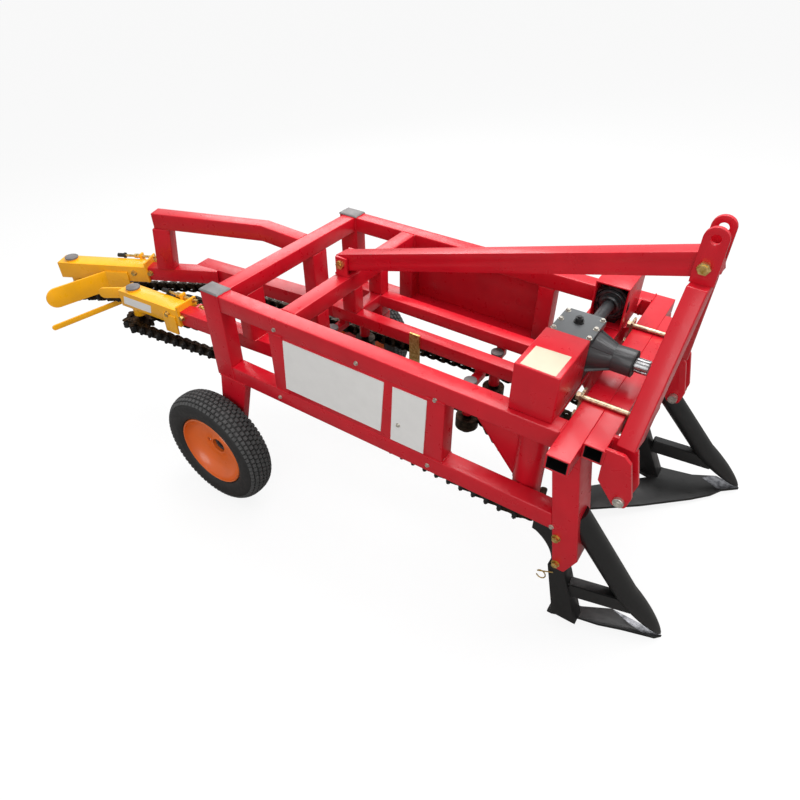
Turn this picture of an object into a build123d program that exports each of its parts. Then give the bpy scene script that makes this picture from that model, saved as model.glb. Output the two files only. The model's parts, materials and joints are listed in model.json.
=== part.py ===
from build123d import *
from math import asin, atan2, cos, degrees, hypot, pi, radians, sin, tan
import os

# Peanut harvester: a two-chain digger that hangs on a small tractor's three-point hitch and runs on two rear wheels.
# Sizes are in millimetres. +X is forward, to the tractor, +Y is the machine's left and +Z is up.
# The machine is drawn with its frame level, and leans nose down onto its shares at the end, as it parks.

# Frame of square tube
HALF_WIDTH = 345.0
TUBE = 50.0
RAIL_TOP = 753.0
LOW_RAIL_TOP = 511.0
REAR_POST_X = -15.0
REAR_POST_DEPTH = 70.0
UPRIGHT_1_X = 234.0
UPRIGHT_2_X = 738.0
MID_RAIL_X = 245.0
PANEL_THICK = 2.0
PANEL_INSET = 1.5
CAP_THICK = 6.0
CAP_LIP = 2.0

# Front cross tube and the hitch tube clamped to it
FRONT_TUBE_X = 1063.0
FRONT_TUBE_DEPTH = 52.0
FRONT_TUBE_HEIGHT = 40.0
FRONT_TUBE_OUT = 73.0
HITCH_TUBE_DEPTH = 45.0
HITCH_TUBE_OUT = 2.0
HITCH_TUBE_IN = 100.0
TUBE_WALL = 4.0
UBOLT_DIA = 12.0
UBOLT_SPOTS = (-213.0, 139.0)
UBOLT_CLEAR = 0.3
UBOLT_TAIL = 16.0

# Front posts, which lean forward towards the ground
FRONT_POST_DEPTH = 64.0
FRONT_POST_WIDTH = 80.0
FRONT_POST_FOOT = 332.0
FRONT_POST_LEAN = 9.3
POST_CUT_HIGH = 58.0
POST_CUT_LONG = 34.0

# Three-point hitch, centred on the input shaft
LOWER_PIN_DIA = 22.0
LOWER_PIN_DROP = 116.0
LOWER_PIN_AHEAD = 54.0
TOP_HOLE_DIA = 19.5
MAST_HEIGHT = 506.0
HITCH_PLATE_THICK = 10.0
HITCH_PLATE_GAP = 56.0
HITCH_PLATE_OUT = 1.0
HITCH_PLATE_RISE = 5.0
HITCH_PLATE_CORNER = 9.0
MAST_PLATE_THICK = 10.0
MAST_PLATE_GAP = 52.0
MAST_PLATE_WIDTH = 46.0
MAST_PLATE_LENGTH = 113.0
LEG_BAR = 40.0
LEG_FOOT_IN = 46.0
MAST_X = 1210.0
STAY_FRONT_DROP = 55.0
STAY_FRONT_BACK = 3.0
STAY_REAR_X = 268.0
STAY_REAR_Y = -24.0
STAY_REAR_Z = 790.0
STAY_WIDE = 46.0
STAY_TALL = 48.0
STAY_BOLT_DIA = 16.0
PIN_CLEAR = 0.08
EAR_CLEAR = 3.3

# Wheels, 4.00-8 pneumatic
TYRE_DIA = 406.0
TYRE_WIDTH = 100.0
RIM_DIA = 250.0
RIM_THICK = 4.0
HUB_DIA = 46.0
HUB_LENGTH = 84.0
AXLE_DIA = 25.0
AXLE_CLEAR = 0.05
WHEEL_X = -13.0
WHEEL_OUT = 60.0
LEG_THICK = 28.0

# Conveyor: two chains that run flat, under their beams
CHAIN_LOW = 400.0
CHAIN_HEIGHT = 40.0
CHAIN_THICK = 18.0
PLATE_THICK = 4.0
CHAIN_PITCH = 38.1
ROLLER_HALF = 7.0
SPROCKET_TEETH = 7
TOOTH_ROOT = 12.0
TOOTH_TIP = 6.0
TOOTH_OUT = 4.0
LUG_OUT = 16.0
LUG_WIDE = 14.0
ROLLER_R = 34.0
BEAM = 50.0
BEAM_TOP = 540.0
CARRIER_TOP = 620.0
CARRIER = 40.0
SEAT = 0.3
SHAFT_R = 12.0
POST_R = 17.0
ROLLER_POST_TOP = 560.0
ROLLER_X1 = 225.0
ROLLER_X2 = 715.0
ROLLER_NEAR_Y = -68.0
ROLLER_FAR_Y = 98.0
GUIDE_R = 120.0
HOUSING_R = 36.0
NEAR_HANGER_Y = -200.0
FAR_HANGER_Y = 102.0
HANGER_WIDE = 70.0
NEAR_BEAM_Y = -182.0
FAR_BEAM_Y = 122.0
FAR_BEAM_END = (-494.0, 52.0)
NEAR_GUIDE = (-120.0, -236.0)
FAR_GUIDE = (-450.0, -35.0)
FAR_BEND_ROLLER = (-440.0, 48.0)
FAR_TAIL_AIM = (-440.0, 20.0)
CARRIER_NEAR_Y = -14.0
CARRIER_FAR_Y = 122.0
CARRIER_REAR = 200.0
CARRIER_FRONT = 968.0
SPRING_X = 510.0
SPRING_LOW = 512.0

# Gearbox bridge and guard boxes
GUARD_X0 = 935.0
GUARD_X1 = 1038.0
BRIDGE_THICK = 12.0
GUARD_TOP = 873.0
SHEET = 4.0
FAR_GUARD_X0 = 954.0
FAR_GUARD_X1 = 1040.0
FAR_GUARD_Y0 = 100.0
FAR_GUARD_Y1 = 237.0
GEARBOX_Y0 = -163.0
GEARBOX_Y1 = -55.0
GEARBOX_TOP = 868.0
PTO_Y = -110.0
PTO_Z = 815.0
PTO_END = 1162.0
PTO_DIA = 35.0
SPLINES = 6
SPLINE_WIDE = 8.7
SPLINE_DEEP = 2.7
COVER_THICK = 14.0
COVER_CUT = 10.0
NOSE = 44.0
NOSE_R = 31.0
NECK = 22.0
NECK_R = 23.0
RIB_THICK = 7.0
SHAFT_AHEAD = 10.5
CROSS_Z = 815.0
CROSS_R = 15.0

# Plan positions of what the chains run round
DRIVE_NEAR = (985.0, HOUSING_R + TUBE + 1.0 - HALF_WIDTH)
DRIVE_FAR = (1012.0, 168.0)
IDLER_NEAR = (-525.0, -236.0)
IDLER_FAR = (-905.0, -216.0)

# Yellow heads that slide on the beams' ends and hold the idlers
HEAD_WIDE = 64.0
HEAD_TALL = 60.0
HEAD_NEAR_FRONT = 240.0
HEAD_FAR_FRONT = 302.0
HEAD_REAR = 42.0
FAR_TAIL_LONG = 570.0
ROD_OUT = 42.0
ROD_DIA = 12.0
PADDLE_THICK = 6.0

UPPER_PADDLE_TIP = (-815.0, -402.0)
UPPER_PADDLE_LOW = 446.0
UPPER_PADDLE_TOP = 522.0
PADDLE_ROOT = 140.0
PADDLE_TAB = 226.0
LOWER_PADDLE_LOW = 374.0
LOWER_PADDLE_TOP = 394.0
NEAR_PADDLE_LOW = 500.0
NEAR_PADDLE_TOP = 540.0
LOWER_PADDLE_TIP = (-805.0, -425.0)
NEAR_PADDLE_TIP = (-648.0, -294.0)
GUSSET_LONG = 126.0
GUSSET_TOP = 640.0
GUSSET_LOW = 485.0

# Brace over the far beam
BRACE_FOOT = (-568.0, -50.0)
BRACE_HEAD = (-540.0, -36.0)
BRACE_BEND = (-176.0, 92.0)
BRACE_Y = 82.0
BRACE_TALL = 56.0

# Shares
FAR_TIP_X = 1460.0
NEAR_TIP_X = 1402.0
SHARE_IN = 24.0
BLADE_LOW = 150.0
BLADE_THICK = 10.0
SHANK_THICK = 44.0
SHARE_BAR_R = 29.0
ARM_WIDE = 30.0
ARM_TALL = 46.0
WING_X = 1040.0
WING_THICK = 10.0
WING_R = 96.0


def bar(x0, x1, y0, y1, z0, z1):
    """A box between two corners."""
    return Pos((x0 + x1) / 2, (y0 + y1) / 2, (z0 + z1) / 2) * Box(abs(x1 - x0), abs(y1 - y0), abs(z1 - z0))


def both(piece):
    """A piece and its mirror on the machine's other side."""
    return [piece, mirror(piece, Plane.XZ)]


def run(start, end, wide, high):
    """A square bar from one point to another, its sides upright."""
    a = Vector(*start)
    b = Vector(*end)
    along = (b - a).normalized()
    side = Vector(0, 0, 1).cross(along)
    if side.length < 0.01:
        side = Vector(0, 1, 0)
    plane = Plane(origin=a, x_dir=side, z_dir=along)
    return extrude(plane * Rectangle(wide, high), (b - a).length)


def loop_parts(wheels, grow=0.0):
    """Straight runs and arcs of a chain's line round a list of (x, y, signed radius)."""
    n = len(wheels)
    runs = []
    for i in range(n):
        xa, ya, ra = wheels[i]
        xb, yb, rb = wheels[(i + 1) % n]
        ra += grow
        rb += grow
        reach = hypot(xb - xa, yb - ya)
        phi = atan2(yb - ya, xb - xa) + asin((ra - rb) / reach)
        normal = (sin(phi), -cos(phi))
        runs.append(((xa + ra * normal[0], ya + ra * normal[1]), (xb + rb * normal[0], yb + rb * normal[1]), phi))
    return runs


def loop_face(wheels, grow):
    """The face inside a chain's line, moved out by grow."""
    runs = loop_parts(wheels, grow)
    edges = []
    n = len(wheels)
    for i in range(n):
        start, end, phi = runs[i]
        edges.append(Edge.make_line(Vector(*start), Vector(*end)))
        following = runs[(i + 1) % n]
        x, y, r = wheels[(i + 1) % n]
        r += grow
        turn = (following[2] - phi + pi) % (2 * pi) - pi
        if r > 0 and turn < -0.5:
            turn += 2 * pi
        middle = phi + turn / 2
        through = (x + r * sin(middle), y - r * cos(middle))
        edges.append(Edge.make_three_point_arc(Vector(*end), Vector(*through), Vector(*following[0])))
    return Face(Wire(edges))


def loop_stations(wheels, pitch):
    """Points and headings at even steps along a chain's line."""
    runs = loop_parts(wheels)
    n = len(wheels)
    pieces = []
    total = 0.0
    for i in range(n):
        start, end, phi = runs[i]
        length = hypot(end[0] - start[0], end[1] - start[1])
        pieces.append(("line", start, phi, length, 0.0))
        x, y, r = wheels[(i + 1) % n]
        turn = (runs[(i + 1) % n][2] - phi + pi) % (2 * pi) - pi
        if r > 0 and turn < -0.5:
            turn += 2 * pi
        pieces.append(("arc", (x, y), phi, abs(r * turn), r))
        total += length + abs(r * turn)
    count = round(total / pitch)
    step = total / count
    stations = []
    at = step * 0.4
    for kind, origin, phi, length, r in pieces:
        while at < length:
            if kind == "line":
                stations.append((origin[0] + at * cos(phi), origin[1] + at * sin(phi), phi))
            else:
                heading = phi + at / r
                stations.append((origin[0] + r * sin(heading), origin[1] - r * cos(heading), heading))
            at += step
        at -= length
    return stations


def chain(wheels):
    """A closed loop of chain: two rows of link plates, with a roller and its lug between them at each pin."""
    half = CHAIN_THICK / 2
    band = loop_face(wheels, half) - loop_face(wheels, -half)
    plates = extrude(band, PLATE_THICK)
    plates += Pos(0, 0, CHAIN_HEIGHT - PLATE_THICK) * extrude(band, PLATE_THICK)
    reach = half + LUG_OUT
    lug = Polyline(
        (-ROLLER_HALF, -LUG_WIDE / 2), (reach, -LUG_WIDE / 2 + 2), (reach, LUG_WIDE / 2 - 2), (-ROLLER_HALF, LUG_WIDE / 2),
        close=True,
    )
    lug = Pos(0, 0, PLATE_THICK) * extrude(make_face(lug), CHAIN_HEIGHT - 2 * PLATE_THICK)
    lugs = []
    for x, y, heading in loop_stations(wheels, CHAIN_PITCH):
        lugs.append(Pos(x, y, 0) * Rot(0, 0, degrees(heading) - 90) * lug)
    return Pos(0, 0, CHAIN_LOW) * (plates + lugs)


nodes = {}

# Frame posts, rails and panels
inner = HALF_WIDTH - TUBE
rail_low = RAIL_TOP - TUBE
low_rail_bottom = LOW_RAIL_TOP - TUBE
post_front = REAR_POST_X + REAR_POST_DEPTH
post = bar(REAR_POST_X, post_front, inner, HALF_WIDTH, low_rail_bottom, RAIL_TOP)
uprights = both(post)
cap = bar(REAR_POST_X - CAP_LIP, post_front + CAP_LIP, inner - CAP_LIP, HALF_WIDTH + CAP_LIP, RAIL_TOP, RAIL_TOP + CAP_THICK)
cap = chamfer(cap.faces().sort_by(Axis.Z)[-1].edges(), CAP_THICK * 0.6)
post_caps = both(cap)
top_rails = both(bar(post_front, FRONT_TUBE_X, inner, HALF_WIDTH, rail_low, RAIL_TOP))
for x in (UPRIGHT_1_X, UPRIGHT_2_X):
    uprights += both(bar(x, x + TUBE, inner, HALF_WIDTH, LOW_RAIL_TOP, rail_low))
nodes["posts"] = uprights
panel_y = HALF_WIDTH - PANEL_INSET
panel = bar(UPRIGHT_1_X + TUBE, UPRIGHT_2_X, panel_y - PANEL_THICK, panel_y, LOW_RAIL_TOP, rail_low)
nodes["side_panels"] = both(panel)
nodes["cross_rails"] = [bar(x, x + TUBE, -inner, inner, rail_low, RAIL_TOP) for x in (0, MID_RAIL_X)]

# Front cross tube, hitch tube and the bolts that clamp them
front_tube_low = RAIL_TOP - FRONT_TUBE_HEIGHT
front_tube_end = FRONT_TUBE_X + FRONT_TUBE_DEPTH
hitch_tube_end = front_tube_end + HITCH_TUBE_DEPTH


def open_tube(x0, x1, y0, y1, z0, z1):
    """A rectangular tube across the machine, open at both ends."""
    outside = bar(x0, x1, y0, y1, z0, z1)
    return outside - bar(x0 + TUBE_WALL, x1 - TUBE_WALL, y0, y1, z0 + TUBE_WALL, z1 - TUBE_WALL)


tube_near = -(HALF_WIDTH + FRONT_TUBE_OUT)
nodes["front_cross_tube"] = [open_tube(FRONT_TUBE_X, front_tube_end, tube_near, HALF_WIDTH, front_tube_low, RAIL_TOP)]
hitch_near = -(HALF_WIDTH + HITCH_TUBE_OUT)
hitch_far = HALF_WIDTH - HITCH_TUBE_IN
nodes["hitch_tube"] = [open_tube(front_tube_end, hitch_tube_end, hitch_near, hitch_far, front_tube_low, RAIL_TOP)]

# Front posts
lean = tan(radians(FRONT_POST_LEAN))


def post_rear(z):
    """Where the front post's rear face is at a height."""
    return front_tube_end - FRONT_POST_DEPTH + (front_tube_low - z) * lean


cut_z = FRONT_POST_FOOT + POST_CUT_HIGH
foot_front = post_rear(FRONT_POST_FOOT) + FRONT_POST_DEPTH - POST_CUT_LONG
outline = Polyline(
    (FRONT_TUBE_X, front_tube_low), (FRONT_TUBE_X, rail_low), (post_rear(rail_low), rail_low),
    (post_rear(FRONT_POST_FOOT), FRONT_POST_FOOT), (foot_front, FRONT_POST_FOOT),
    (post_rear(cut_z) + FRONT_POST_DEPTH, cut_z), (front_tube_end, front_tube_low),
    close=True,
)
profile = Plane.XZ.offset(-(HALF_WIDTH - FRONT_POST_WIDTH)) * make_face(outline)
front_post = extrude(profile, -FRONT_POST_WIDTH)
nodes["front_posts"] = both(front_post)
low_end = post_rear(low_rail_bottom)
low_rail = Polyline(
    (post_front, low_rail_bottom), (low_end, low_rail_bottom), (post_rear(LOW_RAIL_TOP), LOW_RAIL_TOP),
    (post_front, LOW_RAIL_TOP),
    close=True,
)
low_rail = extrude(Plane.XZ.offset(-inner) * make_face(low_rail), -TUBE)
nodes["side_rails"] = top_rails + both(low_rail)

# Wheel legs, axles and wheels
wheel_z = TYRE_DIA / 2
wheel_y = HALF_WIDTH + WHEEL_OUT
leg = Polyline(
    (-5, low_rail_bottom), (WHEEL_X - 38, wheel_z), (WHEEL_X - 22, wheel_z - 34), (WHEEL_X + 22, wheel_z - 34),
    (WHEEL_X + 40, wheel_z), (100, low_rail_bottom),
    close=True,
)
leg = extrude(Plane.XZ.offset(-(HALF_WIDTH - LEG_THICK)) * make_face(leg), -LEG_THICK)
nodes["wheel_legs"] = both(leg)
hub_in = wheel_y - HUB_LENGTH / 2
hub_out = wheel_y + HUB_LENGTH / 2


def across(x, z, r, y0, y1):
    """A round bar along Y."""
    return Pos(x, (y0 + y1) / 2, z) * Rot(90, 0, 0) * Cylinder(r, abs(y1 - y0))


axle = across(WHEEL_X, wheel_z, AXLE_DIA / 2, HALF_WIDTH, hub_out + 2)
axle += across(WHEEL_X, wheel_z, HUB_DIA / 2 - 4, HALF_WIDTH, hub_in - 1)
axle += across(WHEEL_X, wheel_z, AXLE_DIA / 2 + 6, hub_out + 2, hub_out + 7)
nodes["axles"] = both(axle)
bead = RIM_DIA / 2
half_tyre = TYRE_WIDTH / 2
tyre_outline = make_face(Polyline(
    (bead, -half_tyre + 12), (bead + 12, -half_tyre + 2), (bead + 40, -half_tyre), (TYRE_DIA / 2 - 12, -half_tyre + 10),
    (TYRE_DIA / 2, -half_tyre + 22), (TYRE_DIA / 2, half_tyre - 22), (TYRE_DIA / 2 - 12, half_tyre - 10),
    (bead + 40, half_tyre), (bead + 12, half_tyre - 2), (bead, half_tyre - 12),
    close=True,
))
hub_r = HUB_DIA / 2
dish = 14
rim_outline = make_face(Polyline(
    (AXLE_DIA / 2 + AXLE_CLEAR, -HUB_LENGTH / 2), (hub_r, -HUB_LENGTH / 2), (hub_r, dish - RIM_THICK),
    (bead - 30, -2), (bead - RIM_THICK, -half_tyre + 12), (bead - SEAT, -half_tyre + 12), (bead - SEAT, half_tyre - 12),
    (bead - RIM_THICK, half_tyre - 12), (bead - 30, 2 + RIM_THICK), (hub_r, dish), (hub_r, HUB_LENGTH / 2),
    (AXLE_DIA / 2 + AXLE_CLEAR, HUB_LENGTH / 2),
    close=True,
))
wheel_place = Pos(WHEEL_X, wheel_y, wheel_z)
tyre = wheel_place * revolve(tyre_outline, Axis.Y)
rim = wheel_place * revolve(rim_outline, Axis.Y)
nodes["tyre_left"] = [tyre]
nodes["tyre_right"] = [mirror(tyre, Plane.XZ)]
nodes["rim_left"] = [rim]
nodes["rim_right"] = [mirror(rim, Plane.XZ)]

# Beams that carry the chains behind the frame, on hangers under the cross rails
beam_low = BEAM_TOP - BEAM
beam_mid = BEAM_TOP - BEAM / 2
carrier_low = CARRIER_TOP - CARRIER
mid_front = MID_RAIL_X + TUBE
hangers = []
for y in (NEAR_HANGER_Y, FAR_HANGER_Y):
    hangers.append(bar(0, TUBE, y - HANGER_WIDE / 2, y + HANGER_WIDE / 2, BEAM_TOP, rail_low))
near_angle = atan2(NEAR_BEAM_Y - IDLER_NEAR[1], mid_front - IDLER_NEAR[0])
near_length = hypot(NEAR_BEAM_Y - IDLER_NEAR[1], mid_front - IDLER_NEAR[0])
near_line = Pos(*IDLER_NEAR, 0) * Rot(0, 0, degrees(near_angle))
far_angle = atan2(FAR_TAIL_AIM[1] - IDLER_FAR[1], FAR_TAIL_AIM[0] - IDLER_FAR[0])
far_line = Pos(*IDLER_FAR, 0) * Rot(0, 0, degrees(far_angle))
near_beam = near_line * bar(HEAD_NEAR_FRONT, near_length, -BEAM / 2, BEAM / 2, beam_low, BEAM_TOP)
far_beam = run((mid_front, FAR_BEAM_Y, beam_mid), (*FAR_BEAM_END, beam_mid), BEAM + 10, BEAM)
tail = (far_line * bar(HEAD_FAR_FRONT, FAR_TAIL_LONG, -BEAM / 2, BEAM / 2, beam_low, BEAM_TOP)) - far_beam
hangers += [
    bar(MID_RAIL_X, mid_front, NEAR_BEAM_Y - 25, NEAR_BEAM_Y + 25, BEAM_TOP, rail_low),
    bar(MID_RAIL_X, mid_front, CARRIER_NEAR_Y - 20, CARRIER_NEAR_Y + 20, CARRIER_TOP, rail_low),
    bar(MID_RAIL_X, mid_front, CARRIER_FAR_Y - 20, CARRIER_FAR_Y + 20, CARRIER_TOP, rail_low),
    bar(MID_RAIL_X, mid_front, CARRIER_FAR_Y - 20, CARRIER_FAR_Y + 20, BEAM_TOP, carrier_low),
]

# Chains, each one closed loop: what it runs round in turn, and the radius of its line there
line = CHAIN_THICK / 2
roller_line = ROLLER_R + line
sprocket_line = SPROCKET_TEETH * CHAIN_PITCH / (2 * pi)
near_wheels = [
    (*IDLER_NEAR, sprocket_line),
    (NEAR_GUIDE[0], NEAR_GUIDE[1] - GUIDE_R, -GUIDE_R),
    (*DRIVE_NEAR, sprocket_line),
    (ROLLER_X2, ROLLER_NEAR_Y, roller_line),
    (ROLLER_X1, ROLLER_NEAR_Y, roller_line),
]
far_wheels = [
    (*IDLER_FAR, sprocket_line),
    (FAR_GUIDE[0], FAR_GUIDE[1] - GUIDE_R, -GUIDE_R),
    (ROLLER_X1, ROLLER_FAR_Y - roller_line - GUIDE_R, -GUIDE_R),
    (ROLLER_X2, ROLLER_FAR_Y, roller_line),
    (*DRIVE_FAR, sprocket_line),
    (*FAR_BEND_ROLLER, roller_line),
]
nodes["chain_near"] = [chain(near_wheels)]
nodes["chain_far"] = [chain(far_wheels)]
chain_top = CHAIN_LOW + CHAIN_HEIGHT
post_low = chain_top + 8
shaft_low = CHAIN_LOW - 6


def upright(spot, r, z0, z1):
    """A round bar standing at a plan position."""
    return Pos(spot[0], spot[1], (z0 + z1) / 2) * Cylinder(r, z1 - z0)


def wheel_disc(spot):
    """A plain roller that runs on the inner edges of the link plates."""
    disc = upright(spot, ROLLER_R - SEAT, CHAIN_LOW + 2, chain_top - 2)
    return disc - upright(spot, SHAFT_R + SEAT, CHAIN_LOW, chain_top)


def sprocket(spot, wheels):
    """A toothed wheel between the rows of link plates, its gaps set on the rollers that lie on it."""
    root = sprocket_line - ROLLER_HALF - SEAT
    tip = sprocket_line + TOOTH_OUT
    nearest = min(loop_stations(wheels, CHAIN_PITCH), key=lambda at: hypot(at[0] - spot[0], at[1] - spot[1]))
    first = degrees(atan2(nearest[1] - spot[1], nearest[0] - spot[0]))
    tooth = make_face(Polyline(
        (root - 3, -TOOTH_ROOT / 2), (tip, -TOOTH_TIP / 2), (tip, TOOTH_TIP / 2), (root - 3, TOOTH_ROOT / 2), close=True
    ))
    face = Circle(root)
    for i in range(SPROCKET_TEETH):
        face += Rot(0, 0, first + 360 * (i + 0.5) / SPROCKET_TEETH) * tooth
    face -= Circle(SHAFT_R + SEAT)
    low = PLATE_THICK + 2
    return Pos(spot[0], spot[1], CHAIN_LOW + low) * extrude(face, CHAIN_HEIGHT - 2 * low)


def stub_shaft(spot):
    """The shaft a sprocket or roller turns on, with the washer that holds it up."""
    return upright(spot, SHAFT_R, shaft_low, post_low) + upright(spot, SHAFT_R + 8, shaft_low - 6, shaft_low)


nodes["sprockets"] = [
    sprocket(DRIVE_NEAR, near_wheels), sprocket(DRIVE_FAR, far_wheels),
    sprocket(IDLER_NEAR, near_wheels), sprocket(IDLER_FAR, far_wheels),
]

# Guide rollers: x, y, top of the post, y the arm reaches under the carrier (0 for none)
rollers = [
    (ROLLER_X1, ROLLER_NEAR_Y, ROLLER_POST_TOP, CARRIER_NEAR_Y),
    (ROLLER_X2, ROLLER_NEAR_Y, ROLLER_POST_TOP, CARRIER_NEAR_Y),
    (ROLLER_X2, ROLLER_FAR_Y, ROLLER_POST_TOP, CARRIER_FAR_Y),
    (ROLLER_X1, ROLLER_FAR_Y, beam_low, 0),
    (FAR_BEND_ROLLER[0], FAR_BEND_ROLLER[1], beam_low, 0),
]
discs = []
posts = []
caps = []
shafts = []
for x, y, top, arm_y in rollers:
    discs.append(wheel_disc((x, y)))
    shafts.append(stub_shaft((x, y)))
    roller_post = upright((x, y), POST_R, post_low, top)
    if arm_y:
        roller_post += bar(x - 13, x + 13, y, arm_y + 15, top - 20, top)
        roller_post += bar(x - 13, x + 13, arm_y - 3, arm_y + 15, top, carrier_low)
        caps.append(upright((x, y), POST_R + 2, top, top + 8))
    posts.append(roller_post)
nodes["guide_rollers"] = discs
nodes["roller_posts"] = posts

# Carriers over the middle of the chains
carriers = []
for y in (CARRIER_NEAR_Y, CARRIER_FAR_Y):
    carriers.append(bar(CARRIER_REAR, CARRIER_FRONT, y - CARRIER / 2, y + CARRIER / 2, carrier_low, CARRIER_TOP))
link_y0 = CARRIER_NEAR_Y + CARRIER / 2
link_y1 = CARRIER_FAR_Y - CARRIER / 2
link = bar(MID_RAIL_X + 5, mid_front - 5, link_y0, link_y1, carrier_low, CARRIER_TOP)
nodes["chain_carriers"] = [carriers[0] + carriers[1] + link]
bridge_low = RAIL_TOP - BRIDGE_THICK
for y in (CARRIER_NEAR_Y, CARRIER_FAR_Y):
    hangers.append(bar(GUARD_X0, CARRIER_FRONT, y - CARRIER / 2, y + CARRIER / 2, CARRIER_TOP, bridge_low))
nodes["hangers"] = hangers
spring_y = CARRIER_NEAR_Y - CARRIER / 2
nodes["spring_bracket"] = [bar(SPRING_X - 17, SPRING_X + 17, spring_y - 6, spring_y, SPRING_LOW, CARRIER_TOP + 7)]

# Gearbox, its bridge, the cross shaft and the two guard boxes
nodes["gearbox_bridge"] = [bar(GUARD_X0, GUARD_X1, -inner, inner, bridge_low, RAIL_TOP)]
nodes["guard_box_near"] = [bar(GUARD_X0, GUARD_X1, 15 - HALF_WIDTH, GEARBOX_Y0, RAIL_TOP, GUARD_TOP)]
outside = bar(FAR_GUARD_X0, FAR_GUARD_X1, FAR_GUARD_Y0, FAR_GUARD_Y1, RAIL_TOP, GUARD_TOP)
inside = bar(
    FAR_GUARD_X0 + SHEET, FAR_GUARD_X1 - SHEET, FAR_GUARD_Y0 - 1, FAR_GUARD_Y1 - SHEET, RAIL_TOP + SHEET, GUARD_TOP - SHEET
)
nodes["guard_box_far"] = [outside - inside]
box_x = (GUARD_X0 + GUARD_X1) / 2
shaft_x = box_x + SHAFT_AHEAD
gearbox = bar(box_x - 42, box_x + 48, GEARBOX_Y0, GEARBOX_Y1, RAIL_TOP, GEARBOX_TOP - COVER_THICK)
cover = bar(box_x - 46, box_x + 52, GEARBOX_Y0, GEARBOX_Y1 + 4, GEARBOX_TOP - COVER_THICK, GEARBOX_TOP)
gearbox += chamfer(cover.edges().filter_by(Axis.Z), COVER_CUT)
nose_x = box_x + 98
gearbox += Pos(nose_x - 25, PTO_Y, PTO_Z) * Rot(0, 90, 0) * Cone(46, 27, 50)
gearbox += Pos(nose_x + NOSE / 2, PTO_Y, PTO_Z) * Rot(0, 90, 0) * Cylinder(NOSE_R, NOSE)
for turned in (45, 135, 225, 315):
    rib = Polyline((-50, 24), (-50, 52), (0, NOSE_R), (0, 24), close=True)
    rib = extrude(Plane.XZ * make_face(rib), RIB_THICK / 2, both=True)
    gearbox += Pos(nose_x, PTO_Y, PTO_Z) * Rot(turned, 0, 0) * rib
gearbox += across(shaft_x, CROSS_Z, NECK_R, GEARBOX_Y1, GEARBOX_Y1 + NECK)
nodes["gearbox"] = [gearbox]
stub_x = nose_x + NOSE
spline = Circle(PTO_DIA / 2 - SPLINE_DEEP)
for i in range(SPLINES):
    spline += Rot(0, 0, 360 * i / SPLINES) * Pos(PTO_DIA / 4, 0) * Rectangle(PTO_DIA / 2, SPLINE_WIDE)
spline = spline & Circle(PTO_DIA / 2)
nodes["pto_shaft"] = [extrude(Plane(origin=(stub_x, PTO_Y, PTO_Z), z_dir=(1, 0, 0)) * spline, PTO_END - stub_x)]
bevel = bar(shaft_x - 34, shaft_x + 22, FAR_GUARD_Y0 + 22, FAR_GUARD_Y1 - SHEET, RAIL_TOP + SHEET, GEARBOX_TOP - 14)
nodes["far_bevel_box"] = [bevel]
ring = across(shaft_x, CROSS_Z, 38, FAR_GUARD_Y0 + 12, FAR_GUARD_Y0 + 22)
ring += across(shaft_x, CROSS_Z, 26, FAR_GUARD_Y0 + 4, FAR_GUARD_Y0 + 12)
cross = across(shaft_x, CROSS_Z, CROSS_R, GEARBOX_Y1 + NECK, FAR_GUARD_Y0 + 4)
nodes["cross_shaft"] = [cross + ring]

# Drive housings, from the bridge down to the drive sprockets
housings = []
for x, y in (DRIVE_NEAR, DRIVE_FAR):
    shafts.append(stub_shaft((x, y)))
    edge = x - HOUSING_R
    side = Polyline((edge - GUSSET_LONG, GUSSET_TOP), (edge + 6, GUSSET_TOP), (edge + 6, GUSSET_LOW), close=True)
    gusset = extrude(Plane.XZ.offset(-(y - 3)) * make_face(side), -6)
    housings.append(upright((x, y), HOUSING_R, post_low, bridge_low) + gusset)
nodes["drive_housings"] = housings


def paddle(start, end, z0, z1):
    """An upright flat bar with a round end, from one plan point to another."""
    along = Vector(end[0] - start[0], end[1] - start[1], 0)
    half = (z1 - z0) / 2
    plane = Plane(origin=(start[0], start[1], z0 + half), x_dir=along, z_dir=along.cross(Vector(0, 0, 1)))
    straight = along.length - half
    face = Pos(straight / 2, 0) * Rectangle(straight, 2 * half) + Pos(straight, 0) * Circle(half)
    return extrude(plane * face, PADDLE_THICK / 2, both=True)


# Heads, their idler shafts, deflector paddles and tension rods
head_low = beam_mid - HEAD_TALL / 2
head_top = beam_mid + HEAD_TALL / 2
half_head = HEAD_WIDE / 2
rods = []
lugs = []
for place, front, name in ((near_line, HEAD_NEAR_FRONT, "head_near"), (far_line, HEAD_FAR_FRONT, "head_far")):
    head = bar(-HEAD_REAR, front, -half_head, half_head, head_low, head_top)
    head += upright((0, 0), 22, post_low, head_top + 6)
    head += bar(front - 50, front - 40, half_head, half_head + 22, head_low + 20, head_top)
    nodes[name] = [place * head]
    lugs.append(place * bar(front + 20, front + 30, BEAM / 2, half_head + 22, head_low + 20, head_top - 8))
    rod = Pos(front - 20, ROD_OUT, beam_mid + 12) * Rot(0, 90, 0) * Cylinder(ROD_DIA / 2, 150)
    rods.append(place * rod)
low_tab = near_line * bar(170, 226, -half_head - PADDLE_THICK, -half_head, 452, 520)
nodes["head_near"] = [nodes["head_near"][0] + low_tab]
for name in ("head_near", "head_far"):
    nodes[name] = [nodes[name][0] - rods[0] - rods[1]]
nodes["chain_beams"] = [near_beam + (lugs[0] - rods[0]), far_beam]
nodes["far_beam_tail"] = [tail + (lugs[1] - rods[1])]
nodes["tension_rods"] = rods
for spot in (IDLER_NEAR, IDLER_FAR):
    shafts.append(stub_shaft(spot))
    caps.append(upright(spot, 24, head_top + 6, head_top + 12))
nodes["stub_shafts"] = shafts
nodes["end_caps"] = post_caps + caps
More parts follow.
